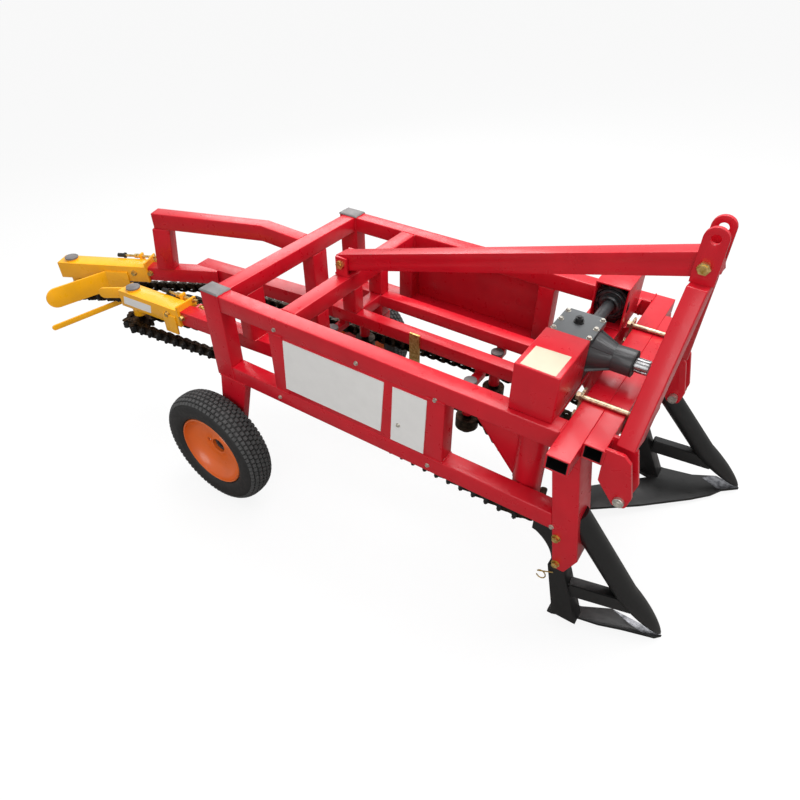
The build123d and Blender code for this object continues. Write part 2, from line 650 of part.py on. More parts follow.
root = (far_line * Pos(PADDLE_ROOT, -half_head - PADDLE_THICK / 2, 0)).position
tab = far_line * bar(
    PADDLE_ROOT, PADDLE_TAB, -half_head - PADDLE_THICK, -half_head, UPPER_PADDLE_LOW, UPPER_PADDLE_TOP
)
upper = paddle((root.X, root.Y), UPPER_PADDLE_TIP, UPPER_PADDLE_LOW, UPPER_PADDLE_TOP)
paddles = [tab + upper - nodes["head_far"][0]]
stem_spot = (far_line * Pos(166, 0, 0)).position
stem = far_line * bar(156, 176, -10, 10, LOWER_PADDLE_LOW, head_low)
paddles.append(stem + paddle((stem_spot.X, stem_spot.Y), LOWER_PADDLE_TIP, LOWER_PADDLE_LOW, LOWER_PADDLE_TOP))
rear_corner = (near_line * Pos(-HEAD_REAR, 0, 0)).position
fin = paddle((rear_corner.X, rear_corner.Y), NEAR_PADDLE_TIP, NEAR_PADDLE_LOW, NEAR_PADDLE_TOP)
paddles.append(fin - nodes["head_near"][0])
nodes["paddles"] = paddles

# Brace over the far beam: a leaning post and a rail back to the frame
brace_mid = RAIL_TOP - BRACE_TALL / 2
brace_post = run((*BRACE_FOOT, BEAM_TOP - 20), (*BRACE_HEAD, RAIL_TOP + 20), BEAM, BEAM + 13)
cut_x0 = BRACE_FOOT[0] - 3 * BEAM
cut_x1 = BRACE_HEAD[0] + 3 * BEAM
cut_y0 = BRACE_FOOT[1] - 3 * BEAM
cut_y1 = BRACE_HEAD[1] + 3 * BEAM
brace_post -= bar(cut_x0, cut_x1, cut_y0, cut_y1, RAIL_TOP - BRACE_TALL, RAIL_TOP + 2 * BEAM)
brace_post -= bar(cut_x0, cut_x1, cut_y0, cut_y1, BEAM_TOP - 2 * BEAM, BEAM_TOP)
nodes["brace_post"] = [brace_post]
head_x, head_y = BRACE_HEAD
brace_run = atan2(BRACE_BEND[1] - head_y, BRACE_BEND[0] - head_x)
path = Polyline((head_x - 32 * cos(brace_run), head_y - 32 * sin(brace_run)), BRACE_BEND, (0, BRACE_Y))
rail_faces = []
for edge in path.edges():
    start = edge.position_at(0)
    end = edge.position_at(1)
    piece = run((start.X, start.Y, brace_mid), (end.X, end.Y, brace_mid), BEAM, BRACE_TALL)
    rail_faces.append(piece)
rail = rail_faces[0] + rail_faces[1] + upright(BRACE_BEND, BEAM / 2, RAIL_TOP - BRACE_TALL, RAIL_TOP)
nodes["brace_rail"] = [rail - bar(0, 2 * TUBE, 0, HALF_WIDTH, BEAM_TOP, RAIL_TOP + TUBE)]

# Lower hitch plates and pins, either side of the input shaft
hitch_half = HALF_WIDTH + HITCH_PLATE_OUT + PTO_Y
hitch_mirror = Plane.XZ.offset(-PTO_Y)
plate_x = hitch_tube_end
plate_top = RAIL_TOP + HITCH_PLATE_RISE
pin_x = plate_x + LOWER_PIN_AHEAD
pin_z = RAIL_TOP - LOWER_PIN_DROP
shape = make_face(Polyline(
    (plate_x, plate_top), (plate_x + 38, plate_top), (plate_x + 55, plate_top - 16), (pin_x + 22, pin_z + 18),
    (pin_x + 15, pin_z - 15), (pin_x - 11, pin_z - 19), (plate_x + 1, pin_z + 34), (plate_x, front_tube_low - 6),
    close=True,
))
shape = fillet([corner for corner in shape.vertices() if corner.X > plate_x + 5], HITCH_PLATE_CORNER)
shape -= Pos(pin_x, pin_z) * Circle(LOWER_PIN_DIA / 2)
plates = []
for out in (hitch_half, hitch_half - HITCH_PLATE_GAP + HITCH_PLATE_THICK):
    plate = extrude(Plane.XZ.offset(HITCH_PLATE_THICK - PTO_Y - out) * shape, -HITCH_PLATE_THICK)
    plates += [plate, mirror(plate, hitch_mirror)]
nodes["hitch_plates"] = plates
pin_in = PTO_Y + hitch_half - HITCH_PLATE_GAP - 14
pin = across(pin_x, pin_z, LOWER_PIN_DIA / 2, pin_in, PTO_Y + hitch_half + 8)
nodes["hitch_pins"] = [pin, mirror(pin, hitch_mirror)]

# Mast: two head plates, each on a slanting leg
mast_z = pin_z + MAST_HEIGHT
half_gap = MAST_PLATE_GAP / 2
mast_out = half_gap + MAST_PLATE_THICK
half_plate = MAST_PLATE_WIDTH / 2
mast_low = mast_z + half_plate - MAST_PLATE_LENGTH
stay_bolt_x = MAST_X - STAY_FRONT_BACK
stay_bolt_z = mast_z - STAY_FRONT_DROP
face = Pos(MAST_X, (mast_low + mast_z) / 2) * Rectangle(MAST_PLATE_WIDTH, mast_z - mast_low)
face += Pos(MAST_X, mast_z) * Circle(half_plate)
face -= Pos(MAST_X, mast_z) * Circle(TOP_HOLE_DIA / 2)
face -= Pos(stay_bolt_x, stay_bolt_z) * Circle(STAY_BOLT_DIA / 2 + PIN_CLEAR)
plate = extrude(Plane.XZ.offset(-half_gap - PTO_Y) * face, -MAST_PLATE_THICK)
nodes["mast_plates"] = [plate, mirror(plate, hitch_mirror)]
leg_foot = Vector(plate_x + 35, PTO_Y + hitch_half - LEG_FOOT_IN, plate_top)
leg_head = Vector(MAST_X, PTO_Y + half_gap + MAST_PLATE_THICK / 2, mast_low)
rise = (leg_head - leg_foot).normalized()
leg = run(tuple(leg_foot - rise * LEG_BAR), tuple(leg_head + rise * LEG_BAR), LEG_BAR, LEG_BAR + 4)
leg -= bar(plate_x - TUBE, MAST_X + HALF_WIDTH, -HALF_WIDTH, HALF_WIDTH, plate_top - 2 * LEG_BAR, plate_top)
leg -= bar(plate_x - TUBE, MAST_X + HALF_WIDTH, -HALF_WIDTH, HALF_WIDTH, mast_low, mast_low + 2 * LEG_BAR)
nodes["mast_legs"] = [leg, mirror(leg, hitch_mirror)]

# Top stay from the mast back to the bracket on the middle cross rail
front_pin = Vector(stay_bolt_x, PTO_Y, stay_bolt_z)
rear_pin = Vector(STAY_REAR_X, STAY_REAR_Y, STAY_REAR_Z)
slope = (front_pin - rear_pin).normalized()
stay = run(tuple(rear_pin - slope * 20), tuple(front_pin + slope * 22), STAY_WIDE, STAY_TALL)
for spot in (front_pin, rear_pin):
    stay -= across(spot.X, spot.Z, STAY_BOLT_DIA / 2 + PIN_CLEAR, spot.Y - STAY_WIDE, spot.Y + STAY_WIDE)
nodes["top_stay"] = [stay]
ear_in = STAY_WIDE / 2 + EAR_CLEAR
base_y0 = rear_pin.Y - ear_in - 8
base_y1 = rear_pin.Y + ear_in + 8
bracket = bar(rear_pin.X - 24, rear_pin.X + 26, base_y0, base_y1, RAIL_TOP, RAIL_TOP + 5)
for y in (base_y0, base_y1 - 8):
    bracket += bar(rear_pin.X - 20, rear_pin.X + 20, y, y + 8, RAIL_TOP + 5, rear_pin.Z + 20)
bracket -= across(rear_pin.X, rear_pin.Z, STAY_BOLT_DIA / 2 + PIN_CLEAR, base_y0 - 1, base_y1 + 1)
nodes["stay_bracket"] = [bracket]
bolts = []
for spot, reach in ((front_pin, mast_out), (rear_pin, ear_in + 8)):
    bolt = across(spot.X, spot.Z, STAY_BOLT_DIA / 2, spot.Y - reach - 12, spot.Y + reach + 16)
    for y0, y1 in ((-reach - 10, -reach), (reach, reach + 12)):
        bolt += Pos(spot.X, spot.Y + y1, spot.Z) * Rot(90, 0, 0) * extrude(RegularPolygon(13, 6), y1 - y0)
    bolts.append(bolt)
nodes["stay_bolts"] = bolts

# U-bolts that clamp the hitch tube to the front cross tube
ubolts = []
rod_r = UBOLT_DIA / 2
top_rod = RAIL_TOP + UBOLT_CLEAR + rod_r
low_rod = front_tube_low - UBOLT_CLEAR - rod_r
nose = hitch_tube_end + UBOLT_CLEAR + rod_r
tail_x = FRONT_TUBE_X - UBOLT_TAIL
for y in UBOLT_SPOTS:
    path = FilletPolyline((tail_x, y, top_rod), (nose, y, top_rod), (nose, y, low_rod), (tail_x, y, low_rod), radius=rod_r + 0.6)
    ubolt = sweep(Plane(origin=(tail_x, y, top_rod), z_dir=(1, 0, 0)) * Circle(rod_r), path=path)
    plate = bar(FRONT_TUBE_X - 6, FRONT_TUBE_X, y - 18, y + 18, low_rod - 14, top_rod + 14)
    for z in (top_rod, low_rod):
        nut = Pos(FRONT_TUBE_X - 16, y, z) * Rot(0, 90, 0) * extrude(RegularPolygon(10, 6), 10)
        ubolt += nut
    ubolts.append(ubolt + plate)
nodes["ubolts"] = ubolts

# Stance: the angle that sets the far share's tip on the floor with the wheels
arm = hypot(FAR_TIP_X - WHEEL_X, BLADE_LOW - wheel_z)
stance = asin(wheel_z / arm) + atan2(BLADE_LOW - wheel_z, FAR_TIP_X - WHEEL_X)
near_low = wheel_z + ((NEAR_TIP_X - WHEEL_X) * sin(stance) - wheel_z) / cos(stance)

# Shares: a flat blade under a shank, with a round bar from the front post down to its tip
# Plan points of each blade, forward and across from its shank's middle line, from the tip round the outer side
near_blade = (
    (NEAR_TIP_X, 74), (1388, 59), (1312, 36), (1255, 15), (1200, 3), (1141, -20), (1128, -20), (1128, 24), (1200, 40),
    (1270, 78),
)
far_blade = (
    (FAR_TIP_X, 74), (1387, 88), (1321, 51), (1236, 31), (1172, 31), (1172, -29), (1208, -36), (1042, -201),
    (1074, -287), (1222, -169), (1344, -57), (1392, -5), (1416, 35),
)
share_y = HALF_WIDTH - SHARE_IN
# y of the shank's middle, blade's underside, blade, shank's lower edges in x, bar's head and its foot
shares = [
    (-share_y, near_low, near_blade, 1141, 1205, (1162, 21, 465), (NEAR_TIP_X - 34, 67, 160)),
    (share_y, BLADE_LOW, far_blade, 1172, 1232, (1172, -9, 478), (FAR_TIP_X - 34, 61, 162)),
]
round_in = post_rear(FRONT_POST_FOOT) - 12
arc_top = (round_in - WING_R * 0.54, FRONT_POST_FOOT + WING_R * 0.82)
wing = make_face([
    Edge.make_line((WING_X, low_rail_bottom), (post_rear(low_rail_bottom), low_rail_bottom)),
    Edge.make_line((post_rear(low_rail_bottom), low_rail_bottom), (post_rear(FRONT_POST_FOOT), FRONT_POST_FOOT)),
    Edge.make_line((post_rear(FRONT_POST_FOOT), FRONT_POST_FOOT), (round_in + 8, FRONT_POST_FOOT - 30)),
    Edge.make_line((round_in + 8, FRONT_POST_FOOT - 30), (round_in + 2, FRONT_POST_FOOT - 30)),
    Edge.make_three_point_arc(
        (round_in + 2, FRONT_POST_FOOT - 30), (round_in - WING_R * 0.12, FRONT_POST_FOOT + WING_R * 0.42), arc_top
    ),
    Edge.make_line(arc_top, (WING_X, arc_top[1] + 2)),
    Edge.make_line((WING_X, arc_top[1] + 2), (WING_X, low_rail_bottom)),
])
blades = []
shanks = []
share_bars = []
for y, low, plan, x0, x1, top, toe in shares:
    flat = low + BLADE_THICK
    top = Vector(top[0], y + top[1], top[2])
    toe = Vector(toe[0], y + toe[1], toe[2])
    under = bar(WING_X - TUBE, FAR_TIP_X + TUBE, -HALF_WIDTH - TUBE, HALF_WIDTH + 2 * TUBE, 0, flat)
    blades.append(Pos(0, y, low) * extrude(make_face(Polyline(*plan, close=True)), BLADE_THICK))
    side = Polyline(
        (round_in, FRONT_POST_FOOT), (foot_front, FRONT_POST_FOOT), (x1, flat), (x0, flat), close=True
    )
    shank = extrude(Plane.XZ.offset(-(y - SHANK_THICK / 2)) * make_face(side), -SHANK_THICK)
    shanks.append(shank + extrude(Plane.XZ.offset(-(y - WING_THICK / 2)) * wing, -WING_THICK))
    slant = (toe - top).normalized()
    round_bar = extrude(Plane(origin=top - slant * 55, z_dir=slant) * Circle(SHARE_BAR_R), (toe - top).length + 120)
    arm_end = top + (toe - top) * 0.74
    arm = run((x1 - 50, y, (FRONT_POST_FOOT + flat) / 2 + 18), tuple(arm_end), ARM_WIDE, ARM_TALL)
    share_bars.append((round_bar + arm) - under - front_post - mirror(front_post, Plane.XZ) - shanks[-1])
nodes["share_blades"] = blades
nodes["shanks"] = shanks
nodes["share_bars"] = share_bars

# Stand the machine on its wheels and share tips, with the origin under the middle of its outline
turn = Pos(WHEEL_X, 0, wheel_z) * Rot(0, degrees(stance), 0) * Pos(-WHEEL_X, 0, -wheel_z)
placed = {}
for name, pieces in nodes.items():
    solids = []
    for piece in pieces:
        solids += (turn * piece).solids()
    placed[name] = solids
whole = Compound([solid for solids in placed.values() for solid in solids]).bounding_box()
middle = Pos(-(whole.min.X + whole.max.X) / 2, -(whole.min.Y + whole.max.Y) / 2, -whole.min.Z)
os.makedirs("parts", exist_ok=True)
for name, solids in placed.items():
    moved = [middle * solid for solid in solids]
    export_step(Compound(moved), f"parts/{name}.step")
    print(name, len(moved), round(sum(solid.volume for solid in moved) / 1000.0, 1))

# Positions the record needs, in metres
spots = {
    "wheel": (WHEEL_X, wheel_y, wheel_z),
    "lower_pin": (pin_x, PTO_Y + hitch_half, pin_z),
    "lower_pin_right": (pin_x, PTO_Y - hitch_half, pin_z),
    "top_hole": (MAST_X, PTO_Y, mast_z),
    "pto": (PTO_END, PTO_Y, PTO_Z),
}
for name, spot in spots.items():
    at = (middle * turn * Pos(*spot)).position
    print(name, round(at.X / 1000, 5), round(at.Y / 1000, 5), round(at.Z / 1000, 5))
print("lean", round(degrees(stance), 4), "low", round(near_low, 2))
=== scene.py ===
"""Looks of the peanut harvester: paint, tyres, chain links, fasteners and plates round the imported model."""

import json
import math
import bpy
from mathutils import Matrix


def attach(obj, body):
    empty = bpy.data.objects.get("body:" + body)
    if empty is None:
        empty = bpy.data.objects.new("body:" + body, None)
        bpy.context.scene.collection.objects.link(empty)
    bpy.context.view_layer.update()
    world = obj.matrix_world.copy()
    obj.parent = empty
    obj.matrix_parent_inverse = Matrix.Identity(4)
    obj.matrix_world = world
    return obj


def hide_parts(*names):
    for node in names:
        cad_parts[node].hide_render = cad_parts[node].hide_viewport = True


bl_info = {
    "name": "Peanut harvester looks",
    "version": (1, 0, 0),
    "blender": (4, 5, 0),
    "location": "View3D > Sidebar > Harvester",
    "description": "Dresses the packed peanut harvester with its paint, tyres, chains, bolts and plates",
    "category": "Object",
}

import bmesh
import bpy
from bpy.props import FloatProperty, FloatVectorProperty, IntProperty, PointerProperty
from mathutils import Matrix, Vector

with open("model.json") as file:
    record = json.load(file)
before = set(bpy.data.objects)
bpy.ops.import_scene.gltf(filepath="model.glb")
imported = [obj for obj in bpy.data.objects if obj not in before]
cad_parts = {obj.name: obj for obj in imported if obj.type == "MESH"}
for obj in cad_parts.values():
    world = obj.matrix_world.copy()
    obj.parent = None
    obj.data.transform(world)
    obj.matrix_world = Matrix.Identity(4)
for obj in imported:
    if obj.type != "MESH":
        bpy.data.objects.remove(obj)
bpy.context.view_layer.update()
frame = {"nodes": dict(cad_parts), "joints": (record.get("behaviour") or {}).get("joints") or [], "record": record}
MM = 0.001

# The frame's lean onto its shares, and the way from level millimetres to metres in the model
HUB = Vector(next(j["pos_m"] for j in frame["joints"] if j["name"] == "wheel_left_spin"))
STUB_AXIS = next(m["axis"] for m in frame["record"]["mounts"] if m["name"] == "pto_stub")
LEAN = math.atan2(-STUB_AXIS[2], STUB_AXIS[0])
HUB_LEVEL = Vector((-13.0, 405.0, 203.0))
LEVEL = (
    Matrix.Translation(HUB) @ Matrix.Rotation(LEAN, 4, "Y")
    @ Matrix.Scale(MM, 4) @ Matrix.Translation(-HUB_LEVEL)
)

# The photograph's camera, in the level frame
EYE = Vector((1321.9, -1332.7, 1633.1))
EYE_AZIMUTH = math.radians(33.684)
EYE_DOWN = math.radians(39.330)
LENS_MM = 28.25

UP = (0.0, 0.0, 1.0)
RIGHT = (0.0, -1.0, 0.0)
LEFT = (0.0, 1.0, 0.0)
BACK = (-1.0, 0.0, 0.0)
FORE = (1.0, 0.0, 0.0)

# Level places as in the solids: the outer and inner faces of a side, and the heights of its rails
SIDE = 345.0
SIDE_IN = 295.0
LOW_RAIL = (461, 511)
TOP_RAIL = (703, 753)
# Points round a tyre and a rim, and round a share's bar
WHEEL_STEPS = 120
BAR_STEPS = 36


def linear(code):
    """A colour written as sRGB hex, as Blender's linear numbers."""
    parts = [int(code[i:i + 2], 16) / 255 for i in (1, 3, 5)]
    return tuple(p / 12.92 if p <= 0.04045 else ((p + 0.055) / 1.055) ** 2.4 for p in parts)


def add(tree, kind, settings=None, inputs=None):
    """Adds a node, sets what it has, and links or fills its sockets."""
    node = tree.nodes.new(kind)
    for name, value in (settings or {}).items():
        setattr(node, name, value)
    for name, value in (inputs or {}).items():
        socket = node.inputs[name]
        if isinstance(value, bpy.types.NodeSocket):
            tree.links.new(value, socket)
        elif hasattr(socket.default_value, "__len__") and len(socket.default_value) == 4 and len(value) == 3:
            socket.default_value = (*value, 1.0)
        else:
            socket.default_value = value
    return node


class HarvesterFinish(bpy.types.PropertyGroup):
    """Colours of the machine's finishes."""

    frame_red: FloatVectorProperty(
        name="Frame red", description="Gloss enamel on the frame", default=linear("#C01122"),
        subtype="COLOR", min=0, max=1,
    )
    head_yellow: FloatVectorProperty(
        name="Head yellow", description="Gloss enamel on the idler heads", default=linear("#F3AC12"),
        subtype="COLOR", min=0, max=1,
    )
    rim_orange: FloatVectorProperty(
        name="Rim orange", description="Enamel on the wheel rims", default=linear("#DE661E"),
        subtype="COLOR", min=0, max=1,
    )
    share_black: FloatVectorProperty(
        name="Share black", description="Enamel on the shares", default=linear("#0A0A0A"),
        subtype="COLOR", min=0, max=1,
    )
    film_white: FloatVectorProperty(
        name="Film white", description="Blank vinyl plates", default=linear("#E3E2E0"),
        subtype="COLOR", min=0, max=1,
    )


class HarvesterSizes(bpy.types.PropertyGroup):
    """Sizes of the pieces that Blender adds."""

    tube_corner: FloatProperty(
        name="Tube corner", description="Rounding of the square tubes", default=3.0 * MM,
        subtype="DISTANCE", min=0,
    )
    block_count: IntProperty(
        name="Tread blocks", description="Blocks round the tyre in each row", default=72, min=8,
    )
    block_depth: FloatProperty(
        name="Tread depth", description="Height of a tread block", default=4.6 * MM,
        subtype="DISTANCE", min=0,
    )
    chain_pitch: FloatProperty(
        name="Chain pitch", description="From one chain pin to the next", default=38.1 * MM,
        subtype="DISTANCE", min=0,
    )
    bolt_head: FloatProperty(
        name="Bolt head", description="Width across a bolt head", default=17.0 * MM,
        subtype="DISTANCE", min=0,
    )
    bead_radius: FloatProperty(
        name="Weld bead", description="Radius of a weld bead", default=2.6 * MM,
        subtype="DISTANCE", min=0,
    )


# Materials


def surface(name, dark, light, patch, rough, grain, fixed):
    """A material whose colour, roughness and relief vary over patches of a real size in millimetres.

    patch holds the size and detail of the colour's patches. rough holds the size of the roughness's patches,
    its least and its most. grain holds the size, detail, strength and depth of the relief. fixed is the same
    all over.
    """
    material = bpy.data.materials.new(name)
    material.use_nodes = True
    tree = material.node_tree
    tree.nodes.clear()
    place = add(tree, "ShaderNodeTexCoord").outputs["Object"]
    spreads = []
    for size, detail, low, high in ((*patch, 0.0, 1.0), (rough[0], 3.0, *rough[1:])):
        noise = add(
            tree, "ShaderNodeTexNoise", None, {"Vector": place, "Scale": 1 / (size * MM), "Detail": detail}
        ).outputs["Fac"]
        spread = {"Value": noise, "From Min": 0.3, "From Max": 0.7, "To Min": low, "To Max": high}
        spreads.append(add(tree, "ShaderNodeMapRange", None, spread).outputs["Result"])
    size, detail, strength, depth = grain
    noise = add(
        tree, "ShaderNodeTexNoise", None, {"Vector": place, "Scale": 1 / (size * MM), "Detail": detail}
    ).outputs["Fac"]
    relief = {"Strength": strength, "Distance": depth * MM, "Height": noise}
    shader = add(tree, "ShaderNodeBsdfPrincipled", None, {
        "Base Color": add(
            tree, "ShaderNodeMix", {"data_type": "RGBA"}, {0: spreads[0], 6: dark, 7: light}
        ).outputs[2],
        "Roughness": spreads[1],
        "Normal": add(tree, "ShaderNodeBump", None, relief).outputs["Normal"],
        **fixed,
    })
    add(tree, "ShaderNodeOutputMaterial", None, {"Surface": shader.outputs["BSDF"]})
    return material


def shades(colour, variation):
    """A darker and a lighter version of a colour."""
    factors = (1 - variation, 1 + variation)
    return [tuple(min(1.0, channel * factor) for channel in colour) for factor in factors]


def enamel(name, colour, roughness, peel_mm=4.0, variation=0.08, coat=0.35, gloss=0.5):
    """Enamel sprayed on steel: an even colour and a soft sheen, with the ripple that the drying film leaves."""
    # real orange peel is 1 to 3 mm across, and drawn a little coarser so that it shows
    return surface(
        name, *shades(colour, variation), (90, 3.0), (25, roughness * 0.8, roughness * 1.25),
        (peel_mm, 1.0, 0.04, 0.15),
        {"Specular IOR Level": gloss, "Coat Weight": coat, "Coat Roughness": 0.12},
    )


def bare_metal(name, dark, light, roughness, mottle_mm, metallic=1.0):
    """Bare or plated steel: a metal's tinted reflections, broken by mottling and a fine tooth."""
    # the tooth of rolled or plated steel is about 0.2 mm, and drawn at 1.5 mm so that it shows
    return surface(
        name, linear(dark), linear(light), (mottle_mm, 5.0),
        (mottle_mm * 0.5, roughness * 0.7, roughness * 1.3), (1.5, 2.0, 0.15, 0.1), {"Metallic": metallic},
    )


def moulded(name, colour, roughness, grain_mm, depth_mm, variation=0.22):
    """Moulded rubber or plastic, or film: no metal in its reflections, a dull even sheen and a matt grain."""
    # a mould's grain is under 1 mm across, and drawn at 2 mm or more so that it shows
    return surface(
        name, *shades(colour, variation), (30, 3.0), (12, roughness * 0.85, roughness * 1.1),
        (grain_mm, 3.0, 0.4, depth_mm), {},
    )


def make_materials(finish):
    """Every material of the machine, by a short key."""
    return {
        # two-pack enamel sprayed over welded tube: deep red with soft highlights
        "red": enamel("red_gloss_enamel", finish.frame_red, 0.32, coat=0.12, gloss=0.36),
        # the same paint in yellow under more clear coat: a brighter sheen on the heads
        "yellow": enamel("yellow_gloss_enamel", finish.head_yellow, 0.32),
        # stoved enamel on pressed rims: orange with a broad sheen round the bowl
        "orange": enamel("orange_rim_enamel", finish.rim_orange, 0.34),
        # brushed black enamel on the steel shares: uneven and nearly matt
        "black": enamel(
            "black_brushed_enamel", finish.share_black, 0.42, peel_mm=6.0, variation=0.3, coat=0.06
        ),
        # thin paint on grey iron: a sandy casting shows through as close ripple
        "casting": enamel(
            "painted_grey_iron_casting", linear("#2B2D2F"), 0.45, peel_mm=3.0, variation=0.2, coat=0.2
        ),
        # flat steel lid in a lighter grey, which is a painted reflection of the light on its top: smoother than
        # the casting below it
        "lid": enamel("steel_lid_painted_reflection", linear("#4E5254"), 0.42, peel_mm=5.0, variation=0.1, coat=0.2),
        # rolled carbon steel under old oil: dark brown, with dull glints
        "chain": bare_metal("oiled_carbon_steel_chain", "#17130F", "#4A3D32", 0.42, 14),
        # steel rubbed bare by soil: grey with clouded bright patches
        "worn": bare_metal("soil_polished_share_steel", "#3E3F42", "#8B8C90", 0.42, 12),
        # clear zinc plate: pale, with a milky bloom that makes it less than a mirror
        "zinc": bare_metal("bright_zinc_plate", "#A5A29A", "#DEDACF", 0.34, 8, 0.8),
        # zinc under a yellow chromate: gold with uneven tint
        "gold": bare_metal("yellow_passivated_zinc", "#B08A3C", "#F0D590", 0.40, 8),
        # the same plate faded on the U-bolts: warm and paler
        "warm": bare_metal("dulled_yellow_zinc", "#8F7F6E", "#D9C2A0", 0.34, 10),
        # ground alloy steel of the splined stub: cool, with sharp light and dark bands
        "ground": bare_metal("ground_alloy_steel", "#3A3B3D", "#B9BABB", 0.28, 20),
        # bearing steel under grease: dark, with soft rings of light
        "ring": bare_metal("greased_bearing_steel", "#1E1F20", "#5B5D5E", 0.4, 10),
        # pressed-in polyethylene caps: chalky grey, softly lit
        "plastic": moulded("grey_ldpe_cap", linear("#6B6767"), 0.55, 2.0, 0.1),
        # carbon-black tyre rubber: matt, with a dull shine on the sidewall
        "rubber": moulded("black_tyre_rubber", linear("#1C1B1B"), 0.62, 2.5, 0.25),
        # the same rubber scuffed on the ground: greyer and rougher
        "tread": moulded("scuffed_tread_rubber", linear("#474747"), 0.75, 2.0, 0.3),
        # moulded rubber lugs: black, with no shine on their faces
        "lug": moulded("black_rubber_lug", linear("#161514"), 0.6, 2.0, 0.2),
        # nylon plug, boot and screw ends: black, smoother than rubber
        "plug": moulded("black_nylon_plug", linear("#141414"), 0.5, 2.0, 0.1),
        # calendered vinyl film: flat white, satin, without grain
        "film": moulded("white_vinyl_film", finish.film_white, 0.35, 40.0, 0.05, 0.02),
        # the same film yellowed by sun
        "cream": moulded("cream_vinyl_film", linear("#BDB69F"), 0.4, 40.0, 0.05, 0.03),
    }


MATERIALS = {}


# Pieces


def settle(name, mesh, material, body="chassis", instead=(), smooth_deg=None, to_model=True):
    """Makes a finished piece of a mesh or bmesh drawn in level millimetres, on its body."""
    if isinstance(mesh, bmesh.types.BMesh):
        mesh = mesh_of(mesh, name)
    if to_model:
        mesh.transform(LEVEL)
    if not mesh.materials:
        mesh.materials.append(MATERIALS[material])
    if smooth_deg is not None:
        mesh.shade_smooth()
        mesh.set_sharp_from_angle(angle=math.radians(smooth_deg))
    piece = bpy.data.objects.new(name, mesh)
    bpy.context.scene.collection.objects.link(piece)
    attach(piece, body)
    if instead:
        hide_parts(*instead)
    return piece


def mesh_of(bm, name):
    """Turns a bmesh into a mesh with its faces pointing out."""
    bmesh.ops.recalc_face_normals(bm, faces=bm.faces)
    mesh = bpy.data.meshes.new(name)
    bm.to_mesh(mesh)
    bm.free()
    return mesh


def block(bm, low, high):
    """A box between two corners."""
    middle = (Vector(low) + Vector(high)) / 2
    size = Vector(high) - Vector(low)
    matrix = Matrix.Translation(middle) @ Matrix.Diagonal((*size, 1.0))
    return bmesh.ops.create_cube(bm, size=1.0, matrix=matrix)["verts"]


def lathe(bm, profile, steps, matrix=None):
    """Turns a closed outline of (radius, height) points about Z."""
    rings = []
    for i in range(steps):
        angle = 2 * math.pi * i / steps
        rings.append([bm.verts.new((r * math.cos(angle), r * math.sin(angle), h)) for r, h in profile])
    between_rings(bm, rings + rings[:1])
    if matrix:
        bmesh.ops.transform(bm, matrix=matrix, verts=[v for ring in rings for v in ring])


def between_rings(bm, rings):
    """Faces between each closed ring of points and the next."""
    count = len(rings[0])
    for here, there in zip(rings, rings[1:]):
        for j in range(count):
            k = (j + 1) % count
            bm.faces.new((here[j], there[j], there[k], here[k]))


def rod(bm, start, end, radius, steps=24):
    """A round bar between two points."""
    a = Vector(start)
    b = Vector(end)
    along = b - a
    matrix = Matrix.Translation((a + b) / 2) @ along.to_track_quat("Z", "Y").to_matrix().to_4x4()
    return bmesh.ops.create_cone(
        bm, cap_ends=True, segments=steps, radius1=radius, radius2=radius, depth=along.length, matrix=matrix
    )["verts"]


def softened(node, corner, material):
    """A copy of a chassis node with its edges rounded, which stands for the node."""
    mesh = frame["nodes"][node].data.copy()
    mesh.materials.clear()
    bm = bmesh.new()
    bm.from_mesh(mesh)
    bmesh.ops.remove_doubles(bm, verts=bm.verts, dist=0.02 * MM)
    bmesh.ops.dissolve_limit(
        bm, angle_limit=math.radians(1.0), verts=bm.verts, edges=bm.edges, use_dissolve_boundaries=False
    )
    bm.to_mesh(mesh)
    bm.free()
    piece = settle(f"{node}_soft", mesh, material, instead=(node,), to_model=False)
    bevel = piece.modifiers.new("corner", "BEVEL")
    bevel.width = corner
    bevel.segments = 3
    bevel.limit_method = "ANGLE"
    bevel.angle_limit = math.radians(35)
    bevel.use_clamp_overlap = True
    bpy.context.view_layer.update()
    made = bpy.data.meshes.new_from_object(piece.evaluated_get(bpy.context.evaluated_depsgraph_get()))
    piece.modifiers.clear()
    piece.data = made
    made.shade_smooth()
    made.set_sharp_from_angle(angle=math.radians(40))


def tree_of(name, sockets):
    """An empty node tree with named inputs, and what its input node gives."""
    tree = bpy.data.node_groups.new(name, "GeometryNodeTree")
    for label, kind in sockets:
        tree.interface.new_socket(label, in_out="INPUT", socket_type=f"NodeSocket{kind}")
    tree.interface.new_socket("Geometry", in_out="OUTPUT", socket_type="NodeSocketGeometry")
    return tree, add(tree, "NodeGroupInput").outputs


def finished(tree, geometry, source):
    """Ends a tree with real geometry in the material that it was given."""
    real = add(tree, "GeometryNodeRealizeInstances", None, {"Geometry": geometry}).outputs[0]
    dressed = add(
        tree, "GeometryNodeSetMaterial", None, {"Geometry": real, "Material": source["Material"]}
    ).outputs[0]
    add(tree, "NodeGroupOutput", None, {"Geometry": dressed})
    return tree


def copied(tree, points, source, settings):
    """Ends a tree with a copy of its pattern on each point."""
    pattern = add(tree, "GeometryNodeObjectInfo", None, {"Object": source["Pattern"]}).outputs["Geometry"]
    inputs = {"Points": points, "Instance": pattern, **settings}
    return finished(tree, add(tree, "GeometryNodeInstanceOnPoints", None, inputs).outputs[0], source)


